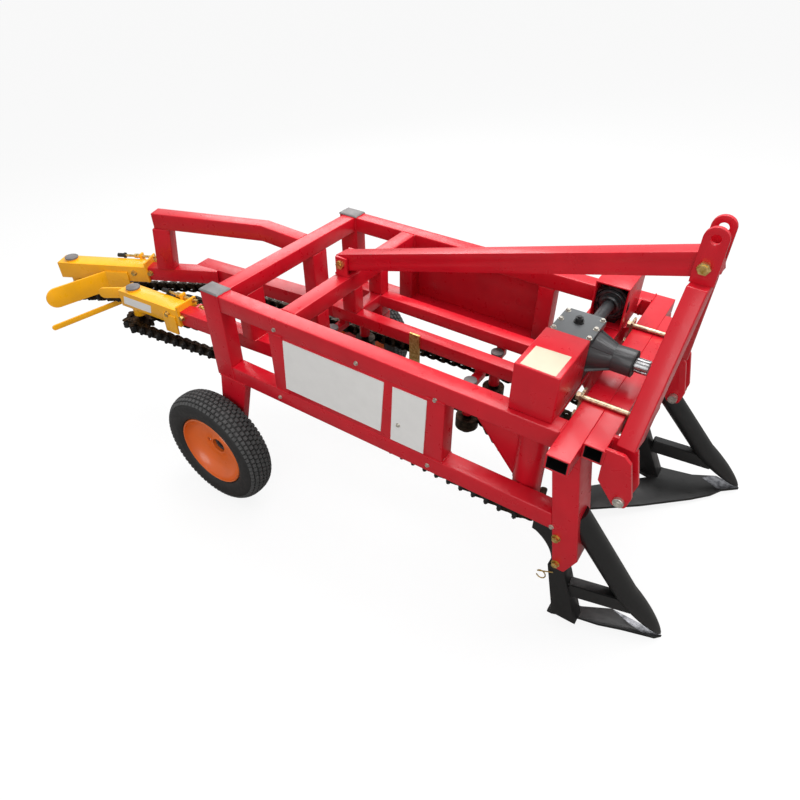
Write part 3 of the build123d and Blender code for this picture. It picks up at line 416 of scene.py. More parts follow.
def ring_tree():
    """Copies of a pattern at even steps about Z."""
    tree, source = tree_of("copies_in_a_ring", (
        ("Geometry", "Geometry"), ("Pattern", "Object"), ("Count", "Int"), ("Phase", "Float"),
        ("Material", "Material"),
    ))
    points = add(tree, "GeometryNodePoints", None, {"Count": source["Count"]}).outputs[0]
    index = add(tree, "GeometryNodeInputIndex").outputs[0]
    step = add(tree, "ShaderNodeMath", {"operation": "DIVIDE"}, {0: 2 * math.pi, 1: source["Count"]}).outputs[0]
    angle = add(
        tree, "ShaderNodeMath", {"operation": "MULTIPLY_ADD"}, {0: index, 1: step, 2: source["Phase"]}
    ).outputs[0]
    turn = add(
        tree, "FunctionNodeEulerToRotation", None,
        {"Euler": add(tree, "ShaderNodeCombineXYZ", None, {"Z": angle}).outputs[0]},
    ).outputs[0]
    return copied(tree, points, source, {"Rotation": turn})


def path_tree():
    """Copies of a pattern at even steps along a closed path, X forward and Z up."""
    tree, source = tree_of("copies_on_a_path", (
        ("Geometry", "Geometry"), ("Pattern", "Object"), ("Count", "Int"), ("Material", "Material"),
    ))
    path = add(tree, "GeometryNodeMeshToCurve", None, {"Mesh": source["Geometry"]}).outputs[0]
    path = add(tree, "GeometryNodeResampleCurve", None, {"Curve": path, "Count": source["Count"]}).outputs[0]
    tangent = add(tree, "GeometryNodeInputTangent").outputs[0]
    turn = add(
        tree, "FunctionNodeAxesToRotation", {"primary_axis": "X", "secondary_axis": "Z"},
        {"Primary Axis": tangent, "Secondary Axis": (0.0, 0.0, 1.0)},
    ).outputs[0]
    return copied(tree, path, source, {"Rotation": turn})


def marked_tree():
    """A copy of a pattern at each marked point, Z along the mark's axis and at the mark's size."""
    tree, source = tree_of("copies_at_marks", (
        ("Geometry", "Geometry"), ("Pattern", "Object"), ("Material", "Material"),
    ))
    fields = []
    for label, kind in (("axis", "FLOAT_VECTOR"), ("size", "FLOAT")):
        node = add(tree, "GeometryNodeInputNamedAttribute", {"data_type": kind}, {"Name": label})
        fields.append(next(socket for socket in node.outputs if socket.enabled))
    axis, size = fields
    turn = add(tree, "FunctionNodeAlignRotationToVector", {"axis": "Z"}, {"Vector": axis}).outputs[0]
    return copied(tree, source["Geometry"], source, {"Rotation": turn, "Scale": size})


def bead_tree():
    """A knobbly weld bead along each edge."""
    tree, source = tree_of("weld_beads", (
        ("Geometry", "Geometry"), ("Radius", "Float"), ("Step", "Float"), ("Material", "Material"),
    ))
    path = add(tree, "GeometryNodeMeshToCurve", None, {"Mesh": source["Geometry"]}).outputs[0]
    path = add(
        tree, "GeometryNodeResampleCurve", {"mode": "LENGTH"}, {"Curve": path, "Length": source["Step"]}
    ).outputs[0]
    ring = add(
        tree, "GeometryNodeCurvePrimitiveCircle", None, {"Resolution": 7, "Radius": source["Radius"]}
    ).outputs[0]
    # inputs 2 and 3 are the least and the most
    knobs = add(
        tree, "FunctionNodeRandomValue", {"data_type": "FLOAT"}, {2: 0.78, 3: 1.2, "Seed": 4}
    ).outputs[1]
    bead = add(
        tree, "GeometryNodeCurveToMesh", None,
        {"Curve": path, "Profile Curve": ring, "Scale": knobs, "Fill Caps": True},
    ).outputs[0]
    return finished(tree, bead, source)


def grown(name, tree, base, settings, pattern=None):
    """Runs a node tree over a mesh and gives back the plain mesh that it makes."""
    scene = bpy.context.scene
    holders = [bpy.data.objects.new(name, base)]
    if pattern:
        holders.append(bpy.data.objects.new(f"{name}_pattern", pattern))
        settings = {**settings, "Pattern": holders[1]}
    for holder in holders:
        scene.collection.objects.link(holder)
    repeat = holders[0].modifiers.new("repeat", "NODES")
    repeat.node_group = tree
    for item in tree.interface.items_tree:
        if item.in_out == "INPUT" and item.name in settings:
            repeat[item.identifier] = settings[item.name]
    bpy.context.view_layer.update()
    whole = holders[0].evaluated_get(bpy.context.evaluated_depsgraph_get())
    made = bpy.data.meshes.new_from_object(whole)
    for holder in holders:
        bpy.data.objects.remove(holder)
    if not made.polygons:
        raise RuntimeError(f"{name}: the node tree made nothing")
    return made


def joined(meshes, name):
    """One mesh of several."""
    bm = bmesh.new()
    for mesh in meshes:
        bm.from_mesh(mesh)
    whole = bpy.data.meshes.new(name)
    bm.to_mesh(whole)
    bm.free()
    return whole


def marks(spots):
    """Points with an axis and a size each, from (place, axis, size) rows."""
    mesh = bpy.data.meshes.new("marks")
    mesh.from_pydata([spot[0] for spot in spots], [], [])
    mesh.attributes.new("axis", "FLOAT_VECTOR", "POINT")
    mesh.attributes.new("size", "FLOAT", "POINT")
    for i, (_, axis, size) in enumerate(spots):
        mesh.attributes["axis"].data[i].vector = axis
        mesh.attributes["size"].data[i].value = size
    return mesh


def hex_bolt(head):
    """A bolt's hexagon head on its washer, its underside at the origin, in millimetres."""
    bm = bmesh.new()
    rod(bm, (0, 0, -0.6), (0, 0, 1.8), head * 0.72, 20)
    low = 1.6
    made = rod(bm, (0, 0, low), (0, 0, low + head * 0.55), head * 0.577, 6)
    top = [v for v in made if v.co.z > low + head * 0.3]
    edges = {edge for v in top for edge in v.link_edges if all(end in top for end in edge.verts)}
    bmesh.ops.bevel(bm, geom=list(edges), offset=head * 0.07, segments=2, affect="EDGES")
    return mesh_of(bm, "hex_bolt")


class HARVESTER_OT_materials(bpy.types.Operator):
    """Makes the paints, metals, rubber, plastic and film."""

    bl_idname = "harvester.materials"
    bl_label = "Materials"

    def execute(self, context):
        MATERIALS.update(make_materials(context.scene.harvester_finish))
        return {"FINISHED"}


# How much of the tube corner rounds the edges of each node, by material and slot
ROUNDED = (
    ("red", "red_paint", {
        "posts": 1.0, "side_rails": 1.0, "cross_rails": 1.0, "side_panels": 0.2, "front_cross_tube": 0.5,
        "hitch_tube": 0.5, "front_posts": 1.0, "wheel_legs": 0.8, "hangers": 1.0, "chain_beams": 1.0,
        "far_beam_tail": 1.0, "roller_posts": 0.4, "chain_carriers": 1.0, "gearbox_bridge": 0.4,
        "guard_box_near": 1.2, "guard_box_far": 0.4, "drive_housings": 0.4, "brace_post": 1.0,
        "brace_rail": 1.0, "hitch_plates": 0.5, "mast_plates": 0.5, "mast_legs": 1.0, "top_stay": 1.0,
        "stay_bracket": 0.5,
    }),
    ("yellow", "yellow_paint", {"head_near": 1.4, "head_far": 1.4, "paddles": 0.6}),
    ("plastic", "grey_plastic", {"end_caps": 0.8}),
    ("casting", "cast_black", {"gearbox": 1.4}),
    ("black", "black_steel", {"shanks": 1.2, "share_blades": 0.5, "far_bevel_box": 1.0}),
)
# Nodes that keep their own mesh, by material
CARRIED = {
    "chain": ("sprockets", "guide_rollers", "stub_shafts"),
    "gold": ("tension_rods", "stay_bolts", "spring_bracket"),
    "casting": ("cross_shaft",),
    "ground": ("pto_shaft",),
    "zinc": ("hitch_pins",),
    "warm": ("ubolts",),
}


class HARVESTER_OT_frame(bpy.types.Operator):
    """Rounds the corners of the welded tubes and plates and paints them."""

    bl_idname = "harvester.frame"
    bl_label = "Frame"

    def execute(self, context):
        corner = context.scene.harvester_sizes.tube_corner
        for material, slot, nodes in ROUNDED:
            for node, share in nodes.items():
                softened(node, corner * share, material)
        for material, nodes in CARRIED.items():
            for node in nodes:
                slots = frame["nodes"][node].data.materials
                slots.clear()
                slots.append(MATERIALS[material])
        return {"FINISHED"}


# Wheels: the tyre's section, half of it, from the bead out to the crown, as (radius, offset)
TYRE_SECTION = (
    (125.0, 34.0), (127.5, 40.0), (132.0, 44.0), (140.0, 46.5), (143.0, 48.2), (147.0, 48.0), (162.0, 49.6),
    (172.0, 48.6), (179.0, 45.4), (184.5, 39.5), (192.6, 28.5), (196.6, 14.5), (197.6, 0.0),
)
# Rows of tread blocks: offset, radius, tilt in degrees, and whether the row is set half a step on
TREAD_ROWS = (
    (0.0, 197.6, 0.0, 0), (14.5, 196.6, 8.0, 1), (-14.5, 196.6, -8.0, 1), (28.5, 192.6, 24.0, 0),
    (-28.5, 192.6, -24.0, 0), (39.5, 184.5, 48.0, 1), (-39.5, 184.5, -48.0, 1),
)
# The rim's section as a closed outline of (radius, offset), its bowl on the outer side
RIM_SECTION = (
    (26.0, -42.0), (31.0, -42.0), (31.0, -1.0), (40.0, -3.0), (56.0, -4.0), (72.0, -4.0), (92.0, 1.0),
    (104.0, 9.0), (108.0, -4.0), (110.0, -18.0), (120.0, -30.0), (118.5, -36.0), (119.0, -40.5), (121.5, -42.0),
    (124.4, -39.0), (124.4, -30.0), (113.0, -18.0), (111.0, 0.0), (113.0, 18.0), (124.4, 30.0), (124.4, 39.0),
    (121.5, 42.0), (119.0, 40.5), (118.5, 36.0), (114.0, 27.0), (106.0, 14.0), (92.0, 5.0), (72.0, 0.0),
    (56.0, 0.0), (40.0, 1.0), (32.0, 5.0), (29.0, 6.5), (26.0, 5.0),
)
# The radii between which the slot beside the hub lies, and how many steps it reaches either way round
SLOT_IN = 40.0
SLOT_OUT = 56.0
SLOT_HALF = 3


def tread_pattern(row, depth_mm):
    """One block of a row of tread, at its place at angle nought, tapered to its top."""
    offset, radius, tilt, _ = row
    bm = bmesh.new()
    made = block(bm, (-2.0, -6.9, -6.0), (depth_mm, 6.9, 6.0))
    for v in made:
        if v.co.x > 0:
            v.co.y *= 0.86
            v.co.z *= 0.86
    top = [edge for edge in bm.edges if all(v.co.x > 0 for v in edge.verts)]
    sides = [edge for edge in bm.edges if (edge.verts[0].co.x > 0) != (edge.verts[1].co.x > 0)]
    bmesh.ops.bevel(bm, geom=top + sides, offset=1.1, segments=2, affect="EDGES")
    bmesh.ops.transform(
        bm, verts=bm.verts,
        matrix=Matrix.Translation((radius, 0, offset)) @ Matrix.Rotation(math.radians(-tilt), 4, "Y"),
    )
    return mesh_of(bm, "tread_block")


class HARVESTER_OT_wheels(bpy.types.Operator):
    """Adds the tyres with their tread blocks, the bowl-shaped rims and the short axle ends."""

    bl_idname = "harvester.wheels"
    bl_label = "Wheels"

    def execute(self, context):
        sizes = context.scene.harvester_sizes
        count = sizes.block_count
        ring = ring_tree()
        hub_x, hub_y, hub_z = HUB_LEVEL
        for side, word in ((1, "left"), (-1, "right")):
            # Z of the drawing points away from the machine
            turn = Matrix.Rotation(-side * math.pi / 2, 4, "X")
            place = Matrix.Translation((hub_x, side * hub_y, hub_z)) @ turn
            carcass = bmesh.new()
            section = [(r, -h) for r, h in TYRE_SECTION] + [(r, h) for r, h in reversed(TYRE_SECTION[:-1])]
            lathe(carcass, section, WHEEL_STEPS)
            rows = []
            for row in TREAD_ROWS:
                settings = {"Count": count, "Phase": row[3] * math.pi / count, "Material": MATERIALS["tread"]}
                base = bpy.data.meshes.new("tread")
                rows.append(grown("tread", ring, base, settings, tread_pattern(row, sizes.block_depth / MM)))
            rim = bmesh.new()
            lathe(rim, RIM_SECTION, WHEEL_STEPS)
            self.cut_slot(rim)
            # the bearing's dark seal, deep in the hub
            seal = bmesh.new()
            lathe(seal, [(12.9, -30), (25.7, -30), (25.7, -6), (22, -4), (15, -5), (12.9, -6)], 48)
            # name, mesh, material, slot, the node that it stands for, and its greatest smooth angle in degrees
            for name, mesh, material, slot, node, angle in (
                (f"tyre_{word}_carcass", mesh_of(carcass, "carcass"), "rubber", "tyre_rubber", "tyre", 35),
                (f"tyre_{word}_tread", joined(rows, "tread"), "tread", "tyre_rubber", None, 35),
                (f"rim_{word}_bowl", mesh_of(rim, "rim"), "orange", "orange_paint", "rim", 30),
                (f"hub_seal_{word}", mesh_of(seal, "hub_seal"), "casting", "orange_paint", None, 30),
            ):
                mesh.transform(place)
                instead = (f"{node}_{word}",) if node else ()
                settle(name, mesh, material, f"wheel_{word}", instead, angle)
        bm = bmesh.new()
        for side in (1, -1):
            rod(bm, (hub_x, side * SIDE, hub_z), (hub_x, side * 361, hub_z), 19)
            rod(bm, (hub_x, side * 360, hub_z), (hub_x, side * 397, hub_z), 12.4)
        settle("axle_ends", bm, "black", instead=("axles",), smooth_deg=30)
        return {"FINISHED"}

    def cut_slot(self, bm):
        """Cuts the slot beside the hub through both faces of the bowl and closes its walls."""
        bm.verts.ensure_lookup_table()
        section = len(RIM_SECTION)
        spans = []
        for j in range(section):
            k = (j + 1) % section
            if {RIM_SECTION[j][0], RIM_SECTION[k][0]} == {SLOT_IN, SLOT_OUT}:
                spans.append((j, k))
        if len(spans) != 2:
            raise RuntimeError("the rim's section has no two faces for the slot")
        half = WHEEL_STEPS // 2
        gone = []
        for i in range(half - SLOT_HALF, half + SLOT_HALF):
            for j, k in spans:
                ring = {bm.verts[i * section + j], bm.verts[i * section + k]}
                ring |= {bm.verts[(i + 1) * section + j], bm.verts[(i + 1) * section + k]}
                gone += [face for face in bm.verts[i * section + j].link_faces if set(face.verts) == ring]
        bmesh.ops.delete(bm, geom=gone, context="FACES_ONLY")
        bmesh.ops.bridge_loops(bm, edges=[edge for edge in bm.edges if edge.is_boundary])


# Chains: what each runs round in turn, x, y and the radius of its line, as in the solids
NEAR_RUN = (
    (-525.0, -236.0, 42.446), (-120.0, -356.0, -120.0), (985.0, -258.0, 42.446), (715.0, -68.0, 43.0),
    (225.0, -68.0, 43.0),
)
FAR_RUN = (
    (-905.0, -216.0, 42.446), (-450.0, -155.0, -120.0), (225.0, -65.0, -120.0), (715.0, 98.0, 43.0),
    (1012.0, 168.0, 42.446), (-440.0, 48.0, 43.0),
)
CHAIN_Z = 400.0
# How far from the first run's start the first pin lies, as a share of the pitch
FIRST_PIN = 0.4


def chain_line(wheels, pitch):
    """A dense closed line round the wheels that starts at the first pin, and the number of pins."""
    n = len(wheels)
    runs = []
    for i in range(n):
        xa, ya, ra = wheels[i]
        xb, yb, rb = wheels[(i + 1) % n]
        phi = math.atan2(yb - ya, xb - xa) + math.asin((ra - rb) / math.hypot(xb - xa, yb - ya))
        side = (math.sin(phi), -math.cos(phi))
        runs.append(((xa + ra * side[0], ya + ra * side[1]), (xb + rb * side[0], yb + rb * side[1]), phi))
    points = []
    total = 0.0
    for i in range(n):
        start, end, phi = runs[i]
        length = math.hypot(end[0] - start[0], end[1] - start[1])
        points.append((total, start))
        total += length
        x, y, r = wheels[(i + 1) % n]
        turn = (runs[(i + 1) % n][2] - phi + math.pi) % (2 * math.pi) - math.pi
        if r > 0 and turn < -0.5:
            turn += 2 * math.pi
        steps = max(2, int(abs(turn) / 0.04))
        for k in range(steps):
            heading = phi + turn * k / steps
            spot = (x + r * math.sin(heading), y - r * math.cos(heading))
            points.append((total + abs(r * turn) * k / steps, spot))
        total += abs(r * turn)
    count = round(total / pitch)
    first = total / count * FIRST_PIN
    start, end, phi = runs[0]
    opening = (start[0] + first * math.cos(phi), start[1] + first * math.sin(phi))
    line = [opening] + [spot for at, spot in points if at > first] + [points[0][1]]
    return line, count


# A link's side plate, from its rear end on: place along the link, half width, and how far in it is cranked
LINK_PLATE = (
    (-9.0, 3.5, 0.0), (-6.5, 7.4, 0.0), (-2.5, 9.0, 0.0), (3.0, 9.0, 0.0), (12.0, 6.8, 0.0), (15.0, 6.6, 0.0),
    (23.0, 6.6, 3.4), (26.0, 6.8, 3.4), (35.0, 9.0, 3.4), (40.6, 9.0, 3.4), (44.6, 7.4, 3.4), (47.0, 3.5, 3.4),
)
LINK_THICK = 3.0


def link_pattern():
    """One cranked link: two side plates, its pin and roller, and its outer wall.

    The next link's plates pass outside its own.
    """
    bm = bmesh.new()
    for top in (True, False):
        rings = []
        for x, w, inset in LINK_PLATE:
            low = 34.8 - inset if top else 4.2 + inset - LINK_THICK
            corners = ((-w, low), (w, low), (w, low + LINK_THICK), (-w, low + LINK_THICK))
            rings.append([bm.verts.new((x, y, z)) for y, z in corners])
        between_rings(bm, rings)
        bm.faces.new(rings[0])
        bm.faces.new(rings[-1])
    rod(bm, (0, 0, 0.2), (0, 0, 39.8), 3.6, 12)
    rod(bm, (0, 0, 9.0), (0, 0, 30.6), 7.0, 18)
    block(bm, (1.0, -8.6, 6.0), (37.0, -5.8, 33.0))
    return mesh_of(bm, "chain_link")


def lug_pattern():
    """The rounded lug that a link carries on its outer side."""
    bm = bmesh.new()
    made = block(bm, (-7.0, -24.6, 7.6), (7.0, -6.0, 31.0))
    for v in made:
        if v.co.y < -20:
            v.co.x *= 0.72
    bmesh.ops.bevel(bm, geom=list(bm.edges), offset=3.0, segments=3, affect="EDGES")
    return mesh_of(bm, "chain_lug")


class HARVESTER_OT_chains(bpy.types.Operator):
    """Adds the chains, link by link with their rollers and lugs."""

    bl_idname = "harvester.chains"
    bl_label = "Chains"

    def execute(self, context):
        pitch = context.scene.harvester_sizes.chain_pitch / MM
        tree = path_tree()
        for wheels, name in ((NEAR_RUN, "near"), (FAR_RUN, "far")):
            line, count = chain_line(wheels, pitch)
            edges = [(i, (i + 1) % len(line)) for i in range(len(line))]
            for pattern, material, word, nodes in (
                (link_pattern(), "chain", "links", (f"chain_{name}",)), (lug_pattern(), "lug", "lugs", ()),
            ):
                path = bpy.data.meshes.new("path")
                path.from_pydata([(x, y, CHAIN_Z) for x, y in line], edges, [])
                settings = {"Count": count, "Material": MATERIALS[material]}
                mesh = grown(f"chain_{word}", tree, path, settings, pattern)
                settle(f"chain_{name}_{word}", mesh, material, "chassis", nodes, 40)
        return {"FINISHED"}


# Frames of the heads, from the idler's place and the beam's angle, and how far along it each head reaches
NEAR_LINE = Matrix.Translation((-525.0, -236.0, 0)) @ Matrix.Rotation(math.atan2(54.0, 820.0), 4, "Z")
FAR_LINE = Matrix.Translation((-905.0, -216.0, 0)) @ Matrix.Rotation(math.atan2(236.0, 465.0), 4, "Z")
HEADS = ((NEAR_LINE, 240.0), (FAR_LINE, 302.0))


# Shares: the top of the bar's line, where the line meets the blade, the height of the blade's top, the bar's
# point and the arm's root
SHARES = (
    ((1162.0, -300.0, 465.0), (1368.0, -254.0, 160.0), 154.1, (1398.0, -249.5, 157.0), (1155.0, -321.0, 261.0)),
    ((1172.0, 312.0, 478.0), (1426.0, 382.0, 162.0), 160.0, (1456.0, 391.5, 163.0), (1182.0, 321.0, 264.0)),
)
BAR_RADIUS = 29.0
# Shares of the bar's line at which it starts to taper and at which its arm meets it
TAPER_FROM = 0.60
ARM_MEETS = 0.74
# The arm's half width and half height
ARM_HALF = (15, 23)
# The strips of each blade that the soil keeps bright
WORN = (
    (154.6, (
        (1272, -244.6), (1290, -251), (1325, -263), (1361, -269.4), (1386, -262), (1399, -248.4),
        (1330, -245.6),
    )),
    (160.5, ((1352, 373), (1366, 390), (1387, 407.6), (1457, 394.6), (1440, 377), (1417, 359), (1404, 350))),
)


class HARVESTER_OT_shares(bpy.types.Operator):
    """Adds the round bars that run to a point on the share blades, their arms and the blades' bright edges."""

    bl_idname = "harvester.shares"
    bl_label = "Shares"

    def execute(self, context):
        bm = bmesh.new()
        for top, toe, flat, point, root in SHARES:
            self.pointed_bar(bm, Vector(top), Vector(toe), flat, Vector(point))
            end = Vector(top).lerp(Vector(toe), ARM_MEETS)
            along = end - Vector(root)
            side = along.cross(Vector(UP)).normalized() * ARM_HALF[0]
            rise = side.cross(along).normalized() * ARM_HALF[1]
            corners = (-side - rise, side - rise, side + rise, rise - side)
            made = [[bm.verts.new(spot + corner) for corner in corners] for spot in (Vector(root), end)]
            for ring in made:
                bm.faces.new(ring)
            between_rings(bm, made)
            ends = {v for ring in made for v in ring}
            edges = [edge for edge in bm.edges if all(v in ends for v in edge.verts)]
            bmesh.ops.bevel(bm, geom=edges, offset=2.5, segments=2, affect="EDGES")
        settle("share_points", bm, "black", instead=("share_bars",), smooth_deg=40)
        bm = bmesh.new()
        for height, outline in WORN:
            sheet(bm, [(x, y, height) for x, y in outline], (0, 0, 0.6))
        settle("worn_edges", bm, "worn")
        return {"FINISHED"}

    def pointed_bar(self, bm, top, toe, flat, point):
        """A round bar down to its taper, then a long point whose underside lies on the blade."""
        slant = (toe - top).normalized()
        turn = slant.to_track_quat("Z", "Y").to_matrix()
        bend = top.lerp(toe, TAPER_FROM)
        stations = [(top - slant * 55, BAR_RADIUS)]
        for i in range(6):
            stations.append((top.lerp(bend, i / 6), BAR_RADIUS))
        for i in range(17):
            u = i / 17
            stations.append((bend.lerp(point, u), BAR_RADIUS * (1 - u ** 2.2) ** 0.72))
        rings = []
        for centre, radius in stations:
            ring = []
            for k in range(BAR_STEPS):
                angle = 2 * math.pi * k / BAR_STEPS
                spot = centre + turn @ Vector((radius * math.cos(angle), radius * math.sin(angle), 0))
                spot.z = max(spot.z, flat - 0.4)
                ring.append(bm.verts.new(spot))
            rings.append(ring)
        tip = bm.verts.new(point)
        bm.faces.new(rings[0])
        between_rings(bm, rings)
        for k in range(BAR_STEPS):
            bm.faces.new((rings[-1][k], rings[-1][(k + 1) % BAR_STEPS], tip))


# Screws of the side panels in x and z, the one on the right side only, and the bolts of the front posts
PANEL_SCREWS = ((260, 719), (246, 483), (533, 719), (762, 705), (748, 483))
RIGHT_SCREWS = ((658, 576), (1090, 470))
POST_BOLTS = ((1107, 440), (1120, 352))
# The gearbox lid's bolts in x and y, its outline, and its height
LID_BOLTS = [(x, y) for x in (948.0, 1031.0) for y in (-152, -109, -66)]
LID_OUTLINE = (
    (951, -162), (1028, -162), (1037.5, -152), (1037.5, -62), (1028, -52), (951, -52), (941.5, -62),
    (941.5, -152),
)
LID_Z = 868.0
# The chains' tightening screws: how far out from the head's middle line, and how high
SCREW_OUT = 42.0
SCREW_Z = 552.0
# The near hitch pin's outer end, on the plate, and its head's outline as (radius, height)
NEAR_PIN = (1214.0, -346.0, 637.0)
PIN_HEAD = (
    (0.8, 0), (12, 0), (12, 7.4), (11, 8.4), (6, 8.4), (5.4, 7.6), (4.6, 7.6), (3.6, 8.8), (0.8, 8.8),
)


class HARVESTER_OT_fasteners(bpy.types.Operator):
    """Adds the bolts, screws, nuts, clips and the gearbox's small parts."""

    bl_idname = "harvester.fasteners"
    bl_label = "Fasteners"

    def execute(self, context):
        screws = []
        gold = []
        for y, outward, spots in (
            (-SIDE, RIGHT, PANEL_SCREWS + RIGHT_SCREWS), (SIDE, LEFT, PANEL_SCREWS),
        ):
            screws += [((x, y, z), outward, 0.5) for x, z in spots]
            gold += [((x, y, z), outward, 0.9) for x, z in POST_BOLTS]
        for place, front in HEADS:
            turn = place.to_3x3()
            # each lug of the lower rod has a nut on either side
            for x in (front - 44, front + 24):
                for shift, way in ((-6, BACK), (6, FORE)):
                    gold.append((place @ Vector((x + shift, 42, 527)), turn @ Vector(way), 1.0))
            for x, y in ((front - 50, -32.0), (front + 10, -25.0)):
                gold.append((place @ Vector((x, y, 520)), turn @ Vector(RIGHT), 0.9))
        cover = [((x, y, LID_Z), UP, 0.55) for x, y in LID_BOLTS]
        tree = marked_tree()
        head = context.scene.harvester_sizes.bolt_head / MM
        for spots, material, name in (
            (screws, "zinc", "frame_screws"), (gold, "gold", "gold_bolts"), (cover, "zinc", "cover_bolts"),
        ):
            mesh = grown(name, tree, marks(spots), {"Material": MATERIALS[material]}, hex_bolt(head))
            settle(name, mesh, material, smooth_deg=30)
        self.gearbox_parts()
        self.clips()
        self.adjusters()
        return {"FINISHED"}

    def adjusters(self):
        """The screws above the heads' far edges that tighten the chains, and the flanges that hold them."""
        y = SCREW_OUT
        z = SCREW_Z
        made = {"adjuster_screws": [], "adjuster_heads": [], "head_flanges": []}
        for place, front in HEADS:
            screws = bmesh.new()
            rod(screws, (front - 110, y, z), (front + 22, y, z), 4.6, 14)
            for x in (front - 62, front - 50.6, front + 5.2):
                rod(screws, (x - 9, y, z), (x, y, z), 9.4, 6)
            ends = bmesh.new()
            rod(ends, (front - 138, y, z), (front - 112, y, z), 7.6, 16)
            rod(ends, (front - 113, y, z), (front - 108, y, z), 10.5, 20)
            flanges = bmesh.new()
            block(flanges, (front - 4.5, -34.5, 484), (front + 3.5, 54, 562))
            block(flanges, (front - 50, 31, 500), (front - 41, 54, 563))
            bmesh.ops.bevel(flanges, geom=list(flanges.edges), offset=1.6, segments=2, affect="EDGES")
            for name, bm in zip(made, (screws, ends, flanges)):
                mesh = mesh_of(bm, name)
                mesh.transform(place)
                made[name].append(mesh)
        for name, material, slot in (
            ("adjuster_screws", "gold", "zinc"), ("adjuster_heads", "plug", "black_steel"),
            ("head_flanges", "yellow", "yellow_paint"),
        ):
            settle(name, joined(made[name], name), material, smooth_deg=30)

    def gearbox_parts(self):
        """The lid, the filler plug, the bearing's rings in the open guard box and the seal round the stub."""
        bm = bmesh.new()
        # the lid's lighter grey is a painted reflection of the light on its top
        sheet(bm, [(x, y, LID_Z + 0.9) for x, y in LID_OUTLINE], (0, 0, 0.7))
        settle("gearbox_lid", bm, "lid")
        bm = bmesh.new()
        # radius, least and greatest height, and steps round the plug
        for radius, low, high, steps in ((12, 866, 872, 24), (9.5, 872, 881, 8), (5, 880, 884, 12)):
            rod(bm, (987, -100, low), (987, -100, high), radius, steps)
        settle("filler_plug", bm, "plug", smooth_deg=30)
        bm = bmesh.new()
        about_y = Matrix.Translation((997.0, 122.0, 815.0)) @ Matrix.Rotation(math.pi / 2, 4, "X")
        lathe(bm, [(39, -1), (46, -1), (46, 7), (44, 9), (41, 9), (39, 7)], 56, about_y)
        lathe(bm, [(30, 8), (36, 8), (36, 13), (34.5, 14), (31.5, 14), (30, 13)], 48, about_y)
        lathe(bm, [(15.2, 17), (25, 17), (25, 21), (21, 23.5), (15.2, 23.5)], 40, about_y)
        settle("bearing_rings", bm, "ring", smooth_deg=25)
        bm = bmesh.new()
        about_x = Matrix.Translation((1126.0, -110.0, 815.0)) @ Matrix.Rotation(math.pi / 2, 4, "Y")
        lathe(bm, [(17.8, 0), (29.5, 0), (31.3, 2), (31.3, 5), (28, 6.5), (24, 4), (17.8, 4)], 48, about_x)
        settle("stub_seal", bm, "plug", smooth_deg=30)

    def clips(self):
        """The flat head of the near hitch pin, and bent wire clips through the far one and the share's pin."""
        bm = bmesh.new()
        lathe(bm, PIN_HEAD, 40, Matrix.Translation(NEAR_PIN) @ Matrix.Rotation(math.pi / 2, 4, "X"))
        settle("hitch_pin_head", bm, "zinc", smooth_deg=30)
        bm = bmesh.new()
        # each clip's y, its loop's middle and radii in x and z, its first angle and sweep, and its tail's end
        for y, middle, radii, first, sweep, tail in (
            (144, (1218, 621), (13, 15), -140, 290, (1190, 593)),
            (-347.5, (1092, 290), (12, 14), -150, 300, (1120, 318)),
        ):
            wire = []
            for i in range(15):
                angle = math.radians(first + sweep * i / 14)
                x, z = (m + r * f(angle) for m, r, f in zip(middle, radii, (math.cos, math.sin)))
                wire.append((x, y, z))
            wire.append((tail[0], y, tail[1]))
            for a, b in zip(wire, wire[1:]):
                rod(bm, a, b, 1.6, 8)
        settle("wire_clips", bm, "gold", smooth_deg=40)


